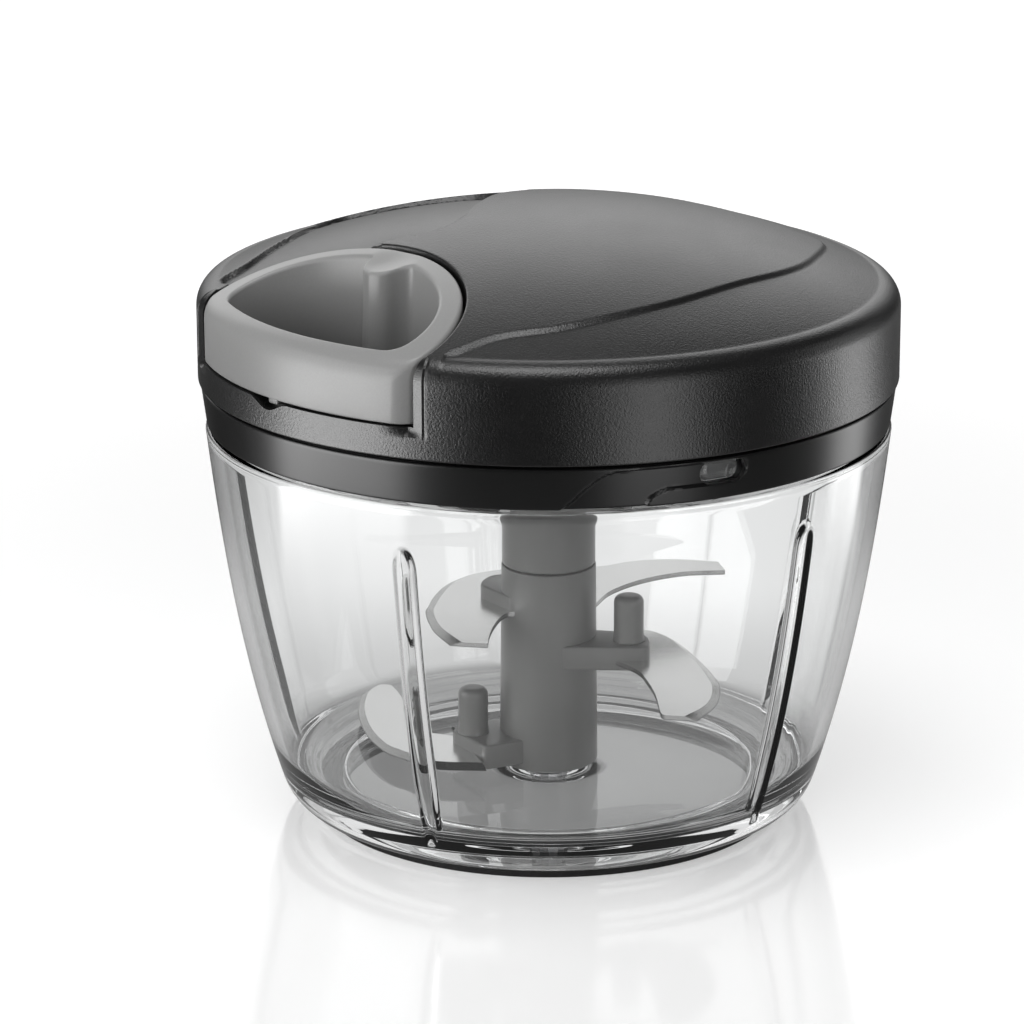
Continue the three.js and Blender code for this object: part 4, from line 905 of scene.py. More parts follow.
class CHOPPER_OT_blades(bpy.types.Operator):
    """Makes the three curved blades with their ground bevels"""

    bl_idname = "chopper.blades"
    bl_label = "Blades"

    def execute(self, context):
        sizes = context.scene.chopper_blades
        for name, plan in BLADES.items():
            blade = surface(f"{name}_ground_blade", blade_points(plan, sizes), capped=True)
            blade.data.set_sharp_from_angle(angle=BEVEL_SHARP)
            level = blade.data.attributes.new("level", "FLOAT", "POINT")
            level.data.foreach_set("value", (places_of(blade)[:, 2] - plan["height"]) / sizes.thickness + 0.5)
            dressed(blade, "blades", "blade_steel", f"{name}_blade")
        return {"FINISHED"}


class CHOPPER_OT_spindle(bpy.types.Operator):
    """Makes the spindle with its three arms, the pegs on two of them and the drive tube above"""

    bl_idname = "chopper.spindle"
    bl_label = "Spindle"

    def execute(self, context):
        sizes = context.scene.chopper_blades
        seam = sizes.seam / MM
        low, r, head = 8.7, sizes.foot_radius / MM, sizes.head_radius / MM
        stem = [
            (4.3, low, 0.3), (r, low, 0.5), (head, seam - SEAM_GAP, 0.35), (6, seam - SEAM_GAP, 0.1), (6, 70, 0.6),
            (0, 70, 0), (0, 28, 0), (4.3, 28, 0),
        ]
        lathed("spindle_tube", stem, 128, "blades", "grey_plastic", "blade_spindle")
        for name, plan in BLADES.items():
            corners = np.array(plan["arm"]) * sizes.foot_radius
            outline = eased(corners, [ARM_CORNER] * len(corners), 7)
            low, high = plan["height"] - ARM_DROP, plan["height"] + ARM_RISE
            dressed(slab(f"{name}_blade_arm", outline, low, high, ARM_EDGE), "blades", "grey_plastic")
            if "peg" not in plan:
                continue
            low, seat, top, r = (size / MM for size in (low, high, high + PEG_HEIGHT, sizes.peg_radius))
            profile = [
                (0, low, 0), (1.8, low, 0), (1.8, seat, 0), (r + 0.25, seat, 0.2), (r, seat + 1.2, 0.8),
                (r, top, 1.7), (0, top, 0),
            ]
            place = np.array(plan["peg"]) * sizes.foot_radius
            peg = revolved(f"{name}_arm_peg", rounded(profile, 9), 48, centre=place)
            dressed(peg, "blades", "grey_plastic", f"{name}_blade_peg")
        low, r = seam + SEAM_GAP, sizes.tube_radius / MM
        sleeve = [
            (8.4, low, 0.3), (r, low, 0.45), (r, 96.4, 0.6), (14, 96.4, 0.3), (14, 98.4, 0.3), (7.5, 98.4, 0.3),
            (7.5, 102.5, 0.3), (2.8, 102.5, 0.3), (2.8, 90.7, 0), (0, 90.7, 0), (0, 72, 0), (8.4, 72, 0.5),
        ]
        lathed("drive_sleeve", sleeve, 128, "drive", "grey_plastic", "drive_tube")
        return {"FINISHED"}


# Lid ring


# The bayonet channel, unrolled: degrees from the lug's middle and heights, from its lower left corner
CHANNEL = [
    (-26.3, 82), (-24.6, 85.2), (-22.6, 87.6), (-20.4, 89.6), (-18.2, 90.5), (-13, 90.9), (-6, 91), (2.6, 90.6),
    (4.2, 89), (3.4, 86.9), (1, 86), (-4.8, 86.1), (-8.5, 86.2), (-10.6, 85.7), (-12, 84.8), (-12.9, 83.5),
    (-13.2, 82),
]
CHANNEL_RADIUS = 70.4 * MM
# The ring's radii in millimetres, and how far its outside leans out for its height
RING_BORE, RING_FOOT, RING_HEAD = 67.8, 69.8, 70.9
RING_LEAN = 1.1 / 8.4
LUG_STEP = 360 / LUG_COUNT


def ring_points(sizes):
    """The ring's grid: a closed profile turned about Z, with the channels pressed into its outside.

    A point's depth is the channel's depth times a smooth step of how far it lies inside the channel's outline.
    """
    skirt = np.linspace(0.6, 7.4, 24) * MM
    low, high = sizes.ring_bottom, sizes.ring_top
    outer = np.stack([RING_FOOT * MM + skirt * RING_LEAN, low + skirt], -1)
    corner = eased([outer[-1], (RING_HEAD * MM, high), (68.9 * MM, high)], [0, 0.55 * MM, 0])[1:-1]
    foot = eased([(RING_BORE * MM, low), (RING_FOOT * MM, low), outer[0]], [0, 0.35 * MM, 0])[1:-1]
    under = rounded([
        (68.9, high / MM, 0.3), (68.9, 95.2, 0.3), (12.2, 95.2, 0.2), (12.2, 86, 0.3), (15, 86, 0.5), (15, 93, 0.8),
        (61, 93, 0.8), (61, 84, 0.4), (62.6, 84, 0.4), (62.6, 93, 0.3), (RING_BORE, 93, 0.8),
        (RING_BORE, low / MM, 0.25),
    ])
    outside = len(foot) + len(outer) + len(corner)
    r, z = np.vstack([foot, outer, corner, under]).T[:, :, None]
    degrees = np.concatenate([np.arange(-28, 6, 0.28), np.linspace(6, 92, 58)[:-1]])
    turns = np.concatenate([degrees + LUG_STEP * i for i in range(LUG_COUNT)])
    near = np.broadcast_to(np.tile(degrees, LUG_COUNT), (len(r), turns.size))
    flat = np.stack([np.radians(near) * CHANNEL_RADIUS, z + 0 * near], -1)
    outline = through(np.array(CHANNEL) * [math.radians(1) * CHANNEL_RADIUS, MM], 90, closed=True)
    mask = np.abs(near + 11) < 18
    mask[outside:] = False
    depth = np.zeros(near.shape)
    depth[mask] = smooth(-0.1 * MM, 0.42 * MM, inside_by(flat[mask], outline))
    return ring_of(r - sizes.channel_depth * depth, np.radians(turns) + LUG_ANGLE, z)


def sector(name, radii, heights, degrees):
    """A block between two radii and two heights in millimetres and two angles in degrees, to cut with."""
    a = np.radians(np.linspace(*degrees, 24))[:, None]
    r = np.array([*radii, *radii[::-1]]) * MM
    z = np.repeat(heights, 2) * MM
    return surface(name, ring_of(r, a, z), capped=True)


def peg_cutter(name, radius, low, high, places):
    """Round bars at several places, to cut holes with."""
    profile = [(0, low), (radius, low), (radius, high), (0, high)]
    return joined(name, [revolved(name, profile, 32, centre=place) for place in places])


def around(circle, degrees):
    """Places on a circle, at angles in degrees."""
    a = np.radians(degrees)
    return np.stack([circle * np.cos(a), circle * np.sin(a)], -1)


WINDOW_HEIGHT, WINDOW_RADIUS, WINDOW_STRAIGHT = 88.5 * MM, 2.4 * MM, 2.6 * MM
SCREW_SINK, SCREW_BOSS = 3.2 * MM, 3.4 * MM
SCREW_PLACES = around(57 * MM, [30, 110, 310])
POST_PLACES = around(34.5 * MM, [40, 140, 300])


class CHOPPER_OT_ring(bpy.types.Operator):
    """Makes the lid's ring with its bayonet channels, the windows of the lugs, the floor and the bridge's posts"""

    bl_idname = "chopper.ring"
    bl_label = "Lid ring"

    def execute(self, context):
        sizes = context.scene.chopper_lid
        ring = surface("lid_ring", ring_points(sizes), ring=True)
        outline = np.vstack([
            arc((WINDOW_STRAIGHT, 0), WINDOW_RADIUS, -0.25, 0.25, 11),
            arc((-WINDOW_STRAIGHT, 0), WINDOW_RADIUS, 0.25, 0.75, 11),
        ])
        windows = []
        for i in range(LUG_COUNT):
            window = slab("window", outline, 66 * MM, 73 * MM, 0.02 * MM, 2)
            windows.append(upended(window, 0, WINDOW_HEIGHT, LUG_ANGLE + i * TURN / LUG_COUNT))
        carved(ring, joined("windows", windows))
        for i in range(LUG_COUNT):
            lug = math.degrees(LUG_ANGLE) + LUG_STEP * i
            carved(ring, sector("track", (66, 68.85), (85.9, 90.9), (lug - 26.5, lug + 4.6)))
            carved(ring, sector("entry", (66, 68.85), (82, 88.6), (lug - 26.4, lug - 12.2)))
        carved(ring, peg_cutter("sinks", SCREW_SINK, 92 * MM, 94.2 * MM, SCREW_PLACES))
        dressed(ring, "lid", "ring_plastic", "lid_base")
        profile = rounded([(1.55, 94, 0), (3.4, 94, 0), (3.4, 113.2, 0.3), (1.55, 113.2, 0.3)])
        posts = [revolved("post", profile, 40, ring=True, centre=place) for place in POST_PLACES]
        dressed(joined("bridge_posts", posts), "lid", "ring_plastic")
        return {"FINISHED"}


class CHOPPER_OT_seals(bpy.types.Operator):
    """Makes the rim gasket, and the bush and seal in which the drive tube turns"""

    bl_idname = "chopper.seals"
    bl_label = "Seals"

    def execute(self, context):
        rim = [
            (63.4, 88.7, 0.5), (64.9, 88.7, 0.5), (64.9, 91.5, 0.3), (67.2, 91.5, 0.4), (67.2, 92.7, 0.4),
            (63.4, 92.7, 0.4),
        ]
        lathed("rim_seal", rim, 192, "gasket", "gasket_silicone", "rim_gasket")
        bush = [(10, 90.6, 0.2), (11.9, 90.6, 0.2), (11.9, 95.2, 0.2), (10, 95.2, 0.2)]
        lathed("tube_bush", bush, 96, "lid", "white_plastic", "hub_bush")
        seal = [
            (10, 86, 0.2), (11.9, 86, 0.2), (11.9, 88.3, 0.2), (10.9, 88.3, 0.2), (10.7, 87, 0.2), (10, 86.9, 0.2),
        ]
        lathed("tube_seal", seal, 96, "lid", "gasket_silicone", "hub_seal")
        return {"FINISHED"}


# Lid cover

# Outlines on the dome as shares of the cover's radius
LEAF = [
    (-0.47, -0.18), (-0.33, -0.137), (-0.254, -0.04), (-0.203, 0.165), (-0.15, 0.343), (-0.066, 0.455), (0.11, 0.51),
    (0.31, 0.46), (0.5, 0.36), (0.69, 0.27), (0.79, 0.17), (0.746, -0.09), (0.67, -0.27), (0.53, -0.445),
    (0.328, -0.644), (0.067, -0.793), (-0.137, -0.84), (-0.263, -0.895), (-0.345, -0.9),
]
SCOOP = [
    (-0.42, -0.16), (-0.33, -0.137), (-0.254, -0.04), (-0.203, 0.165), (-0.15, 0.343), (-0.066, 0.455),
    (-0.21, 0.545), (-0.42, 0.532), (-0.632, 0.478), (-0.77, 0.21), (-0.855, 0.03), (-0.93, -0.07), (-0.8, -0.2),
]


# The relief's steps, the valley and the crease beside the leaf, and how far from the edge the relief fades
LEAF_STEP, SCOOP_STEP, VALLEY_STEP = 0.45 * MM, 0.3 * MM, 0.9 * MM
VALLEY_DEPTH, VALLEY_LENGTH = 1.2 * MM, 7 * MM
CREASE_DEPTH, CREASE_PLACE, CREASE_WIDTH = 1.5 * MM, MM, 0.85 * MM
RELIEF_ENDS = (4.6 * MM, 3 * MM)
# The bay's ends, in degrees from the pull, and how far and from what heights the side is chamfered there
BAY_END = 30.6
BAY_CHAMFER, CHAMFER_HEIGHTS = 1.1 * MM, (96.6 * MM, 97.3 * MM)
BAY_FLARE = 0.45 * MM
DOME_THICKER = 1.8 * MM
NOTCH_HALF, NOTCH_DEPTH = 6.2 * MM, 1.9 * MM


def dome_height(r, sizes, inset=0.0):
    """Height of the cover's top at radius r.

    Inside the edge it falls as 0.91 t^2 + 0.09 t^4 with t = r / edge, and beyond it follows the corner's circle.
    """
    middle = sizes.radius - sizes.corner_radius
    corner = sizes.corner_radius - inset
    lean = math.radians(23.77)
    edge = middle + corner * math.sin(lean)
    edge_height = sizes.corner_height + corner * math.cos(lean)
    t = r / edge
    dome = edge_height + (sizes.top - inset - edge_height) * (1 - 0.91 * t**2 - 0.09 * t**4)
    circle = sizes.corner_height + np.sqrt(np.clip(corner**2 - (r - middle) ** 2, 0, None))
    return np.where(r < edge, dome, circle)


def cover_height(x, y, sizes):
    """The dome with its raised leaf and lowered scoop, each a smooth step of the distance inside its outline.

    In the scoop a valley lies beside the leaf, with a crease in it. At a distance d from the leaf's outline the
    valley is depth * exp(-d / length) deep, and the crease depth * exp(-((d - place) / width)^2).
    """
    r = np.hypot(x, y)
    flat = np.stack([x, y], -1).reshape(-1, 2)
    leaf = inside_by(flat, through(LEAF, 100, closed=True) * sizes.radius).reshape(x.shape)
    scoop = inside_by(flat, through(SCOOP, 80, closed=True) * sizes.radius).reshape(x.shape)
    fade = 1 - smooth(sizes.radius - RELIEF_ENDS[0], sizes.radius - RELIEF_ENDS[1], r)
    beside = np.clip(-leaf, 0, None)
    valley = smooth(0, VALLEY_STEP, beside) * np.exp(-beside / VALLEY_LENGTH) * VALLEY_DEPTH
    valley = valley + CREASE_DEPTH * np.exp(-(((beside - CREASE_PLACE) / CREASE_WIDTH) ** 2))
    step = smooth(-LEAF_STEP, LEAF_STEP, leaf) * (1 - smooth(-SCOOP_STEP, SCOOP_STEP, scoop))
    hollow = (sizes.scoop_drop + valley) * smooth(-0.2 * MM, 0.7 * MM, scoop)
    return dome_height(r, sizes) - (sizes.leaf_rise * (1 - step) + hollow) * fade


def arch(middle, back, half_width, count):
    """Half an ellipse in the pull frame: (m + (m - b) cos a, h sin a), with a from a quarter to three of a turn."""
    a = np.linspace(0.25, 0.75, count) * TURN
    return np.stack([middle + (middle - back) * np.cos(a), half_width * np.sin(a)], -1)


def face_middle(half_width, radius, corner):
    """How far out the middles of a loop's corners lie: a corner's circle touches the face and the side."""
    return math.sqrt((radius - corner) ** 2 - (half_width - corner) ** 2)


def bay_outline(sizes, lid, gap):
    """The bay's outline in the pull frame: half an ellipse at the back, and straight sides out past the rim."""
    half = sizes.half_width + gap
    middle = face_middle(sizes.half_width, sizes.outer_radius, sizes.corner)
    along = np.linspace(1, 0, 16)[:-1] * 1.1
    x = np.concatenate([[1.5 * lid.radius], middle + (lid.radius - middle) * along])
    upper = np.stack([x, np.full(x.size, half)], -1)
    return np.vstack([upper, arch(middle, sizes.back - gap, half, 121), upper[::-1] * [1, -1]])


def cover_outside(lid):
    """The cover's outer form: rings of the dome, the corner and the side, closed flat below.

    At both ends of the bay the side has a chamfer: radius less depth * steps of the angle and the height.
    """
    dome_r = np.linspace(0, 1, 165) ** 0.95 * (lid.radius - lid.corner_radius + 1.2 * MM)
    rows = len(dome_r)
    corner = arc((lid.radius - lid.corner_radius, lid.corner_height), lid.corner_radius, 0.184, 0, 14)[1:]
    side = np.linspace(lid.corner_height - 0.3 * MM, lid.bottom + 0.5 * MM, 26)
    rim = eased([(lid.radius, lid.bottom + MM), (lid.radius, lid.bottom), (0, lid.bottom)], [0, 0.45 * MM, 0])[1:]
    r = np.concatenate([dome_r, corner[:, 0], np.full(len(side), lid.radius), rim[:, 0]])[:, None]
    z = np.concatenate([0 * dome_r, corner[:, 1], side, rim[:, 1]])[:, None]
    near = np.linspace(-3, 3, 41)
    degrees = np.concatenate([
        near - BAY_END, np.linspace(-27.2, 27.2, 24), near + BAY_END, np.linspace(34.2, 156, 190),
        np.linspace(157.5, 233, 48), np.linspace(233.8, 325.8, 130),
    ])
    a = PULL + np.radians(degrees)
    off = np.abs((degrees + 180) % 360 - 180)
    crease = 0.25 * smooth(BAY_END - 0.3, BAY_END, off) * (1 - smooth(BAY_END + 0.15, BAY_END + 0.5, off))
    chamfer = smooth(27, 27.3, off) * (np.clip((30.5 - off) / 2.4, 0, 1) + crease)
    r = r - BAY_CHAMFER * chamfer * smooth(*CHAMFER_HEIGHTS, z) * (np.arange(len(r)) >= rows)[:, None]
    x, y = r * np.cos(a), r * np.sin(a)
    z = np.broadcast_to(z, x.shape).copy()
    z[:rows] = cover_height(x[:rows], y[:rows], lid)
    blend = np.linspace(1, 0, len(corner) + 1)[1:, None]
    z[rows : rows + len(corner)] += (z[rows - 1] - dome_height(r[rows - 1], lid))[None] * blend
    return surface("lid_dome", np.stack([x, y, z], -1))


def bay_cutter(lid, handle, floor):
    """The bay's form: the outline raised from its floor, flaring by a quarter circle where it leaves the dome."""
    outline = counter_clockwise(bay_outline(handle, lid, handle.gap))
    t = np.linspace(0, TURN / 4, 6)
    offsets = np.concatenate([[0, 0], BAY_FLARE * (1 - np.cos(t)), [BAY_FLARE + 0.6 * MM] * 2])
    plan = turned_about(outline[None] + normals_of(outline)[None] * offsets[:, None, None], PULL)
    drops = np.concatenate([[0, -4 * MM], BAY_FLARE * (np.sin(t) - 1), [MM, 0]])
    z = cover_height(plan[..., 0], plan[..., 1], lid) + drops[:, None]
    z[0], z[-1] = floor, 130 * MM
    return surface("bay", raised(plan, z), capped=True)


def prism(name, outline, low, high):
    """A plain prism on an outline in the pull frame, to cut with."""
    flat = turned_about(counter_clockwise(np.array(outline, float)), PULL)
    return surface(name, raised(np.stack([flat, flat]), [[low], [high]]), capped=True)


class CHOPPER_OT_cover(bpy.types.Operator):
    """Makes the domed cover: its outer form, less the hollow inside and the handle's bay"""

    bl_idname = "chopper.cover"
    bl_label = "Lid cover"

    def execute(self, context):
        lid = context.scene.chopper_lid
        handle = context.scene.chopper_handle
        cover = cover_outside(lid)
        r = np.linspace(0, 60, 30) * MM
        dome = np.column_stack([r, dome_height(r, lid) - lid.wall - DOME_THICKER])
        side = lid.radius - lid.wall
        inner = np.vstack([dome, [(66 * MM, 108.5 * MM), (side, 104 * MM), (side, 90 * MM), (0, 90 * MM)]])
        hollow = revolved("hollow", inner, 96)
        wall = bay_outline(handle, lid, handle.gap + lid.wall)
        carved(hollow, prism("bay_wall", wall, lid.bay_floor - 2.6 * MM, 140 * MM))
        carved(hollow, peg_cutter("bosses", SCREW_BOSS, 95.5 * MM, 130 * MM, SCREW_PLACES))
        carved(cover, hollow)
        carved(cover, bay_cutter(lid, handle, lid.bay_floor))
        carved(cover, notch_cutter(lid))
        dressed(cover, "lid", "cover_plastic", "lid_cover")
        return {"FINISHED"}


def notch_cutter(lid):
    """The dip in the bay's lip under the handle's tab: depth * cos^2 across it, cut through the rim."""
    across = np.linspace(-NOTCH_HALF, NOTCH_HALF, 25)
    dip = NOTCH_DEPTH * np.cos(across / NOTCH_HALF * TURN / 4) ** 2
    top = lid.bay_floor + 2 * MM
    outline = np.vstack([np.column_stack([across, lid.bay_floor - dip]), [(NOTCH_HALF, top), (-NOTCH_HALF, top)]])
    ends = (lid.radius - 6 * MM, lid.radius + 2 * MM)
    rows = [np.column_stack([np.full(len(outline), x), outline]) for x in ends]
    return surface("notch", turned_about(np.array(rows), PULL), capped=True)


# Handle

BOSS_ASIDE, BOSS_DIP, POCKET_RADIUS = 2.7 * MM, 0.8 * MM, 2.5 * MM
BOSS_FILLETS = (8 * MM, 1.8 * MM)
FOOT_EDGE, DRAFT = 0.5 * MM, 0.7 * MM


def pocket_reach(sizes):
    """How far the knot's pocket, in the round boss, lies from the lid's axis."""
    return sizes.back + sizes.back_wall / 2 + 3 * MM


def loop_outline(back, half_width, radius, corner, boss=None):
    """A closed loop in the pull frame: half an ellipse behind, and between two corners the face about the lid's axis.

    With a boss, the back bulges to the larger of its own x and the boss's circle, rounded where they meet.
    """
    y = half_width - corner
    x = face_middle(half_width, radius, corner)
    turn = math.atan2(y, x) / TURN
    rear = arch(x, back, half_width, 241)[:-1]
    if boss:
        boss_x, boss_y, size = boss
        off = rear[:, 1] - boss_y
        bulge = boss_x + np.sqrt(np.clip(size**2 - off**2, 0, None)) - np.clip(np.abs(off) - size, 0, None) * 3
        swollen = soft_max(rear[:, 0], bulge, np.where(off > 0, *BOSS_FILLETS))
        rear[:, 0] = np.where(rear[:, 0] < x - 6 * MM, swollen, rear[:, 0])
    return np.vstack([
        rear,
        arc((x, -y), corner, -0.25, -turn, 20)[:-1],
        arc((0, 0), radius, -turn, turn, 80)[:-1],
        arc((x, y), corner, turn, 0.25, 20)[:-1],
    ])


def handle_points(sizes, lid):
    """The handle's grid: each row is a closed section between the inner and the outer outline.

    Its top follows the dome. Its edges are quarter circles, and the walls lean in a little towards the bottom.
    """
    pocket = pocket_reach(sizes)
    outer = loop_outline(sizes.back, sizes.half_width, sizes.outer_radius, sizes.corner)
    inner = loop_outline(
        sizes.back + sizes.back_wall, sizes.half_width - sizes.side_wall, sizes.outer_radius - sizes.face_wall,
        sizes.opening_corner, boss=(pocket + 0.5 * MM, -BOSS_ASIDE, sizes.boss_radius),
    )
    side = outer - inner
    width = np.linalg.norm(side, axis=1)[:, None]
    t = np.linspace(0, TURN / 4, 7)
    edge, foot = sizes.edge, FOOT_EDGE
    inset, drop = edge * (1 - np.cos(t)), edge * (1 - np.sin(t))
    middle = np.linspace(0, 1, 12)[1:-1]
    above = np.concatenate([inset + 0 * width, edge + (width - 2 * edge) * middle, width - inset[::-1]], 1)
    drops = np.concatenate([drop, 0 * middle, drop[::-1]])
    inset, level = foot * np.array([0, 0.3, 1]), foot * np.array([1, 0.3, 0])
    below = np.concatenate([width - inset, inset[::-1] - DRAFT + 0 * width], 1)
    low = sizes.bottom + np.concatenate([level, level[::-1]])
    plan = inner[:, None] + side[:, None] * (np.concatenate([above, below], 1) / width)[..., None]
    x, y = plan[:, : len(drops), 0], plan[:, : len(drops), 1]
    height = dome_height(np.hypot(x, y), lid, lid.radius - sizes.outer_radius) - drops
    off_boss = np.hypot(x - pocket - 1.2 * MM, y + 2.4 * MM)
    height = height - BOSS_DIP * (1 - smooth(0.5 * MM, 7.5 * MM, off_boss))
    heights = np.concatenate([height, np.broadcast_to(low, below.shape)], 1)
    return turned_about(raised(plan, heights), PULL)


class CHOPPER_OT_handle(bpy.types.Operator):
    """Makes the pull handle with its round boss, and the tab below its face"""

    bl_idname = "chopper.handle"
    bl_label = "Pull handle"

    def execute(self, context):
        sizes = context.scene.chopper_handle
        lid = context.scene.chopper_lid
        loop = surface("handle_loop", handle_points(sizes, lid), ring=True)
        pocket = around(pocket_reach(sizes), [math.degrees(PULL)])
        carved(loop, peg_cutter("pocket", POCKET_RADIUS, 97 * MM, 112 * MM, pocket))
        dressed(loop, "handle", "handle_plastic", "pull_handle")
        outer = (sizes.outer_radius - sizes.face_wall / 4) / MM
        outline = rounded([(outer - 3.4, -1.5, 0.6), (outer, -1.5, 0.6), (outer, 1.5, 0.6), (outer - 3.4, 1.5, 0.6)])
        tab = slab("handle_tab", turned_about(outline, PULL), sizes.bottom - 1.35 * MM, sizes.bottom + MM, 0.4 * MM)
        dressed(tab, "handle", "handle_plastic")
        return {"FINISHED"}


# Cord

CORD_RADIUS = MM
CORD_HEIGHT = 108.5 * MM
WINDING_RADIUS = 23.8 * MM
WINDING_PITCH = 2.5 * MM
WINDING_TOP = 106.35 * MM
WINDING_TURNS = 2.1
CORD_CORNER = 28.3 * MM
BEND_REACH = 2.1 * MM
EYELET_REACH = 30.8 * MM
KNOT_SIZE, KNOT_RADIUS, KNOT_PAST = 0.82 * MM, 0.62 * MM, 5.15 * MM
LEAVE = PULL - math.acos(WINDING_RADIUS / CORD_CORNER)


def ahead(distance, height=CORD_HEIGHT):
    """A point at a distance from the axis along the pull."""
    return np.array([distance * math.cos(PULL), distance * math.sin(PULL), height])


class CHOPPER_OT_cord(bpy.types.Operator):
    """Makes the cord: its winding on the drum, the run to the eyelet, the stretch to the handle and the knot"""

    bl_idname = "chopper.cord"
    bl_label = "Cord"

    def execute(self, context):
        handle = context.scene.chopper_handle
        before = np.linspace(WINDING_TURNS, 0, 240)
        a = LEAVE - before * TURN
        helix = ring_of(WINDING_RADIUS, a, WINDING_TOP - before * WINDING_PITCH)
        winding = tube("drum_winding", helix, CORD_RADIUS)
        dressed(winding, "spool", "cord_fibre", "cord_winding")
        start = helix[-1] + [0, 0, CORD_HEIGHT - WINDING_TOP]
        corners = [start, ahead(CORD_CORNER), ahead(handle.back - MM)]
        run = tube("cord_in_lid", eased(corners, [0, BEND_REACH, 0], 14), CORD_RADIUS)
        dressed(run, "lid", "cord_fibre", "cord_run")
        back = handle.back - handle.gap
        stretch = np.linspace(ahead(back), ahead(handle.back + 2.6 * MM), 121)
        pull = tube("cord_to_handle", stretch, CORD_RADIUS)
        painted(pull, "cord_fibre")
        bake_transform(pull)
        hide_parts("pull_cord")
        a = np.linspace(0, TURN, 160)
        wave = 1.25 + 0.45 * np.cos(3 * a)
        path = ring_of(wave, 2 * a, 0.55 * np.sin(3 * a)) * KNOT_SIZE
        knot = tube("cord_end_knot", path + ahead(handle.back + KNOT_PAST), KNOT_RADIUS, 12)
        dressed(knot, "handle", "cord_fibre", "cord_knot")
        flange = [
            (1.4, 0, 0.1), (2.3, 0, 0.1), (2.3, 1.65, 0.2), (3.6, 1.65, 0.25), (3.6, 2.35, 0.3), (1.4, 2.35, 0.45),
        ]
        eyelet = upended(revolved("eyelet", rounded(flange), 64, ring=True), EYELET_REACH, CORD_HEIGHT, PULL)
        dressed(eyelet, "lid", "steel", "cord_eyelet")
        return {"FINISHED"}


class CHOPPER_OT_inner_works(bpy.types.Operator):
    """Gives the carried-over pieces inside the lid and under the spindle their finishes"""

    bl_idname = "chopper.inner_works"
    bl_label = "Inner works"

    def execute(self, context):
        for row in frame["record"]["subparts"]:
            node = frame["nodes"][row["node"]]
            if not node.hide_render:
                painted(node, row["material_slot"])
        return {"FINISHED"}


# Stage

LAMP_TARGET = (0, 0, 0.1)
# Soft lamps: place, width and height in metres, and power
LAMPS = {
    "top": ((-0.1, -0.2, 1.2), 0.65, 0.65, 6),
    "left": ((-0.82, -0.34, 0.3), 0.8, 0.56, 3.5),
    "front_right": ((0.5, -0.75, 0.26), 0.3, 0.5, 0.7),
    "back_right": ((0.66, 0.2, 0.24), 0.3, 0.4, 0.35),
}
# Bright cards that only reflections see: middle, half width and softness in degrees from the camera, and strength
CARDS = ((-66, 24, 5, 6.5), (30, 11, 10, 2.2), (107, 10, 8, 3.6))
# Smooth steps of light: between two distances in metres, and where all four are given from one level to another
SHEET_SIDES = (0.07, 0.15)
# Painted shadow on the sheet seen through the bowl: darkest under the foot, rising past it and fading out further
# away.
SHEET_SHADOW_FOOT = (0.053, 0.085)
SHEET_SHADOW_BESIDE = 0.62
SHEET_SHADOW_FADE = (0.085, 0.16, 1.0, 1.42)
GLOW_PAST = (0.12, 0.6, 1.0, 2.6)
CARD_FLOOR = (0.1, 0.5, 0.02, 0.2)
CARDS_BEGIN = (0.15, 0.26, 0.0, 1.0)
SHINE_NEAR = (0.15, 0.24, 0.33, 0.0)
WALL_FOOT = (0.12, 0.46, 0.1, 1.0)
WALL_HEAD = (0.5, 1.5)
WALL_HEAD_SHINE = 0.5
WALL_RIGHT = (0.2, 0.75, 1.0, 0.1)
WALL_HALF, WALL_AWAY, WALL_TOP = 0.9, 1.0, 1.6


def lamp(name, place, width, height, power):
    """A soft rectangular lamp at a place, turned towards the lamps' target."""
    light = bpy.data.lights.new(name, "AREA")
    light.shape = "RECTANGLE"
    light.size = width
    light.size_y = height
    light.energy = power
    thing = linked(name, light)
    x, y, z = np.subtract(LAMP_TARGET, place)
    thing.location = place
    thing.rotation_euler = (math.atan2(math.hypot(x, y), -z), 0, math.atan2(-x, y))


def plane(name, corners, material):
    """A flat stage piece with four corners."""
    mesh = bpy.data.meshes.new(name)
    mesh.from_pydata(corners, [], [(0, 1, 2, 3)])
    mesh.materials.append(material)
    linked(name, mesh)


def card_glow(paint, turn, middle, half, soft, strength):
    """The light of one card at an angle: full inside its half width, then it falls off smoothly."""
    off = abs(turn - math.radians(middle))
    return paint.ramp(off, math.radians(half - soft / 2), math.radians(half + soft / 2), strength, 0.0)


def make_floor(setting):
    """A glossy white floor. Seen through the bowl it is a sheet of light with a painted shadow under and round the
    bowl's foot, and reflections see the cards on it.
    """
    paint = Paint("floor")
    across, along = paint.along("X"), paint.along("Y")
    away = paint.node("ShaderNodeVectorMath", {"operation": "LENGTH"}, {0: paint.place()}, output="Value")
    sheet = paint.ramp(abs(across), *SHEET_SIDES, setting.sheet_glow, setting.sheet_dim)
    # Painted shadow: the sheet is darker under and round the bowl's foot.
    sheet = sheet * paint.ramp(away, *SHEET_SHADOW_FOOT, setting.sheet_shadow_under, SHEET_SHADOW_BESIDE) * paint.ramp(away, *SHEET_SHADOW_FADE)
    base = paint.shader(base_color=(0.8, 0.8, 0.8, 1), roughness=0.1, specular_ior_level=0.5)
    glow = paint.glow(paint.ray("Camera") * paint.ramp(away, *GLOW_PAST) * setting.floor_glow)
    lit = paint.node("ShaderNodeAddShader", sockets={0: base, 1: glow})
    turn = across.math("ARCTAN2", across, along * -1.0)
    cards = sum((card_glow(paint, turn, *card) for card in CARDS), start=paint.ramp(along, *CARD_FLOOR))
    cards = cards * paint.ramp(away, *CARDS_BEGIN) + paint.ramp(away, *SHINE_NEAR)
    seen = paint.mixed(paint.ray("Glossy"), lit, paint.glow(cards))
    material = paint.done(paint.mixed(paint.ray("Transmission"), seen, paint.glow(sheet)))
    half = setting.floor_width / 2
    plane("floor", [(-half, -half, 0), (half, -half, 0), (half, half, 0), (-half, half, 0)], material)


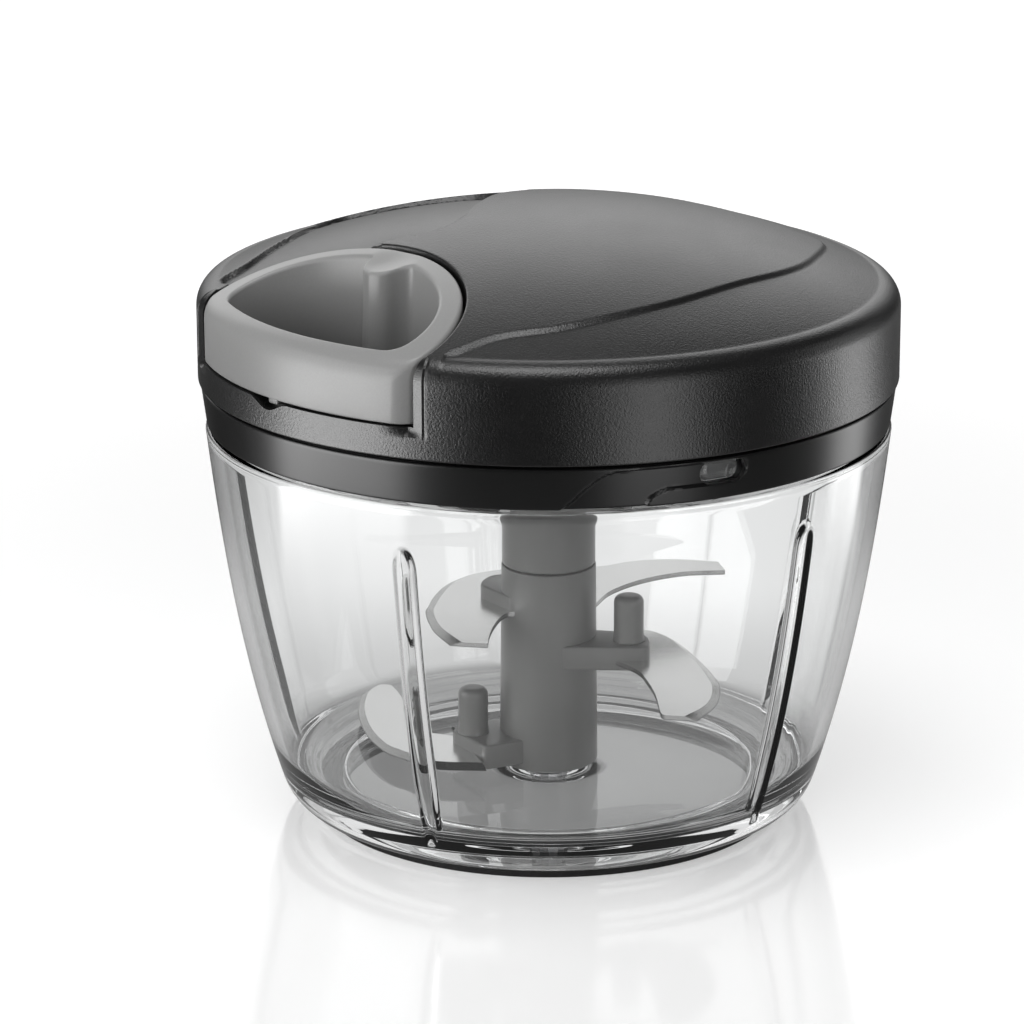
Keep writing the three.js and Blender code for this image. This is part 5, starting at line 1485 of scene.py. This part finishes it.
def make_wall(setting):
    """A white wall behind, which only reflections and rays through the bowl see."""
    paint = Paint("wall")
    up, across, through_bowl = paint.along("Z"), paint.along("X"), paint.ray("Transmission")
    shine = paint.ramp(up, *WALL_FOOT) * paint.ramp(up, *WALL_HEAD, setting.wall_shine, WALL_HEAD_SHINE)
    shine = shine * paint.ramp(across, *WALL_RIGHT)
    glow = paint.mixed(through_bowl, paint.glow(shine), paint.glow(setting.wall_glow))
    seen = through_bowl.math("MAXIMUM", paint.ray("Glossy"), through_bowl)
    material = paint.done(paint.mixed(seen, paint.node("ShaderNodeBsdfTransparent"), glow))
    side, away, top = WALL_HALF, WALL_AWAY, WALL_TOP
    plane("wall", [(-side, away, 0), (side, away, 0), (side, away, top), (-side, away, top)], material)


def make_sky(scene, setting):
    """A sky that is white to the camera, even to diffuse rays, pale through the bowl and dim to reflections.

    The dim sides show at the bends of clear walls, which is what draws them.
    """
    world = bpy.data.worlds.new("sky")
    world.use_nodes = True
    paint = Paint("sky", world.node_tree)
    limits = {"To Min": setting.dim_sky, "To Max": setting.sky}
    even = paint.node("ShaderNodeMapRange", sockets={"Value": paint.ray("Diffuse"), **limits})
    most = even.math("MAXIMUM", even, paint.ray("Transmission") * setting.clear_sky)
    white = most.math("MAXIMUM", paint.ray("Camera"), most)
    background = world.node_tree.nodes["Background"]
    background.inputs["Color"].default_value = WHITE
    world.node_tree.links.new(white.socket, background.inputs["Strength"])
    scene.world = world


class CHOPPER_OT_stage(bpy.types.Operator):
    """Makes the pale floor, the soft lamps, the white surround and the camera"""

    bl_idname = "chopper.stage"
    bl_label = "Stage"

    def execute(self, context):
        setting = context.scene.chopper_stage
        make_floor(setting)
        make_wall(setting)
        make_sky(context.scene, setting)
        for name, values in LAMPS.items():
            lamp(name, *values)
        camera = linked("camera", bpy.data.cameras.new("camera"))
        pitch, reach = setting.camera_pitch, setting.camera_distance
        camera.location = (0, -reach * math.cos(pitch), setting.aim_height + reach * math.sin(pitch))
        camera.rotation_euler = (TURN / 4 - pitch, 0, 0)
        camera.data.lens = setting.camera_lens
        camera.data.sensor_width = 36
        camera.data.shift_x = setting.camera_shift
        camera.data.clip_start = 0.01
        context.scene.camera = camera
        context.scene.view_settings.view_transform = "Standard"
        return {"FINISHED"}


class CHOPPER_PT_panel(bpy.types.Panel):
    """Lists the operators and the sizes"""

    bl_label = "Food chopper"
    bl_space_type = "VIEW_3D"
    bl_region_type = "UI"
    bl_category = "Chopper"

    def draw(self, context):
        for operator in OPERATORS:
            self.layout.operator(operator.bl_idname)
        for name, group in GROUPS.items():
            box = self.layout.box()
            for key in group.__annotations__:
                box.prop(getattr(context.scene, name), key)


GROUPS = {
    "chopper_bowl": ChopperBowlSizes,
    "chopper_lid": ChopperLidSizes,
    "chopper_handle": ChopperHandleSizes,
    "chopper_blades": ChopperBladeSizes,
    "chopper_finishes": ChopperFinishes,
    "chopper_stage": ChopperStageSettings,
}
OPERATORS = (
    CHOPPER_OT_stage,
    CHOPPER_OT_bowl,
    CHOPPER_OT_foot,
    CHOPPER_OT_blades,
    CHOPPER_OT_spindle,
    CHOPPER_OT_ring,
    CHOPPER_OT_seals,
    CHOPPER_OT_cover,
    CHOPPER_OT_handle,
    CHOPPER_OT_cord,
    CHOPPER_OT_inner_works,
)


def register():
    for name, group in GROUPS.items():
        bpy.utils.register_class(group)
        setattr(bpy.types.Scene, name, bpy.props.PointerProperty(type=group))
    for item in (*OPERATORS, CHOPPER_PT_panel):
        bpy.utils.register_class(item)


def unregister():
    for item in (CHOPPER_PT_panel, *reversed(OPERATORS)):
        bpy.utils.unregister_class(item)
    for name, group in GROUPS.items():
        delattr(bpy.types.Scene, name)
        bpy.utils.unregister_class(group)


def main():
    register()
    for operator in OPERATORS:
        group, name = operator.bl_idname.split(".")
        getattr(getattr(bpy.ops, group), name)()


if __name__ == "__main__":
    main()
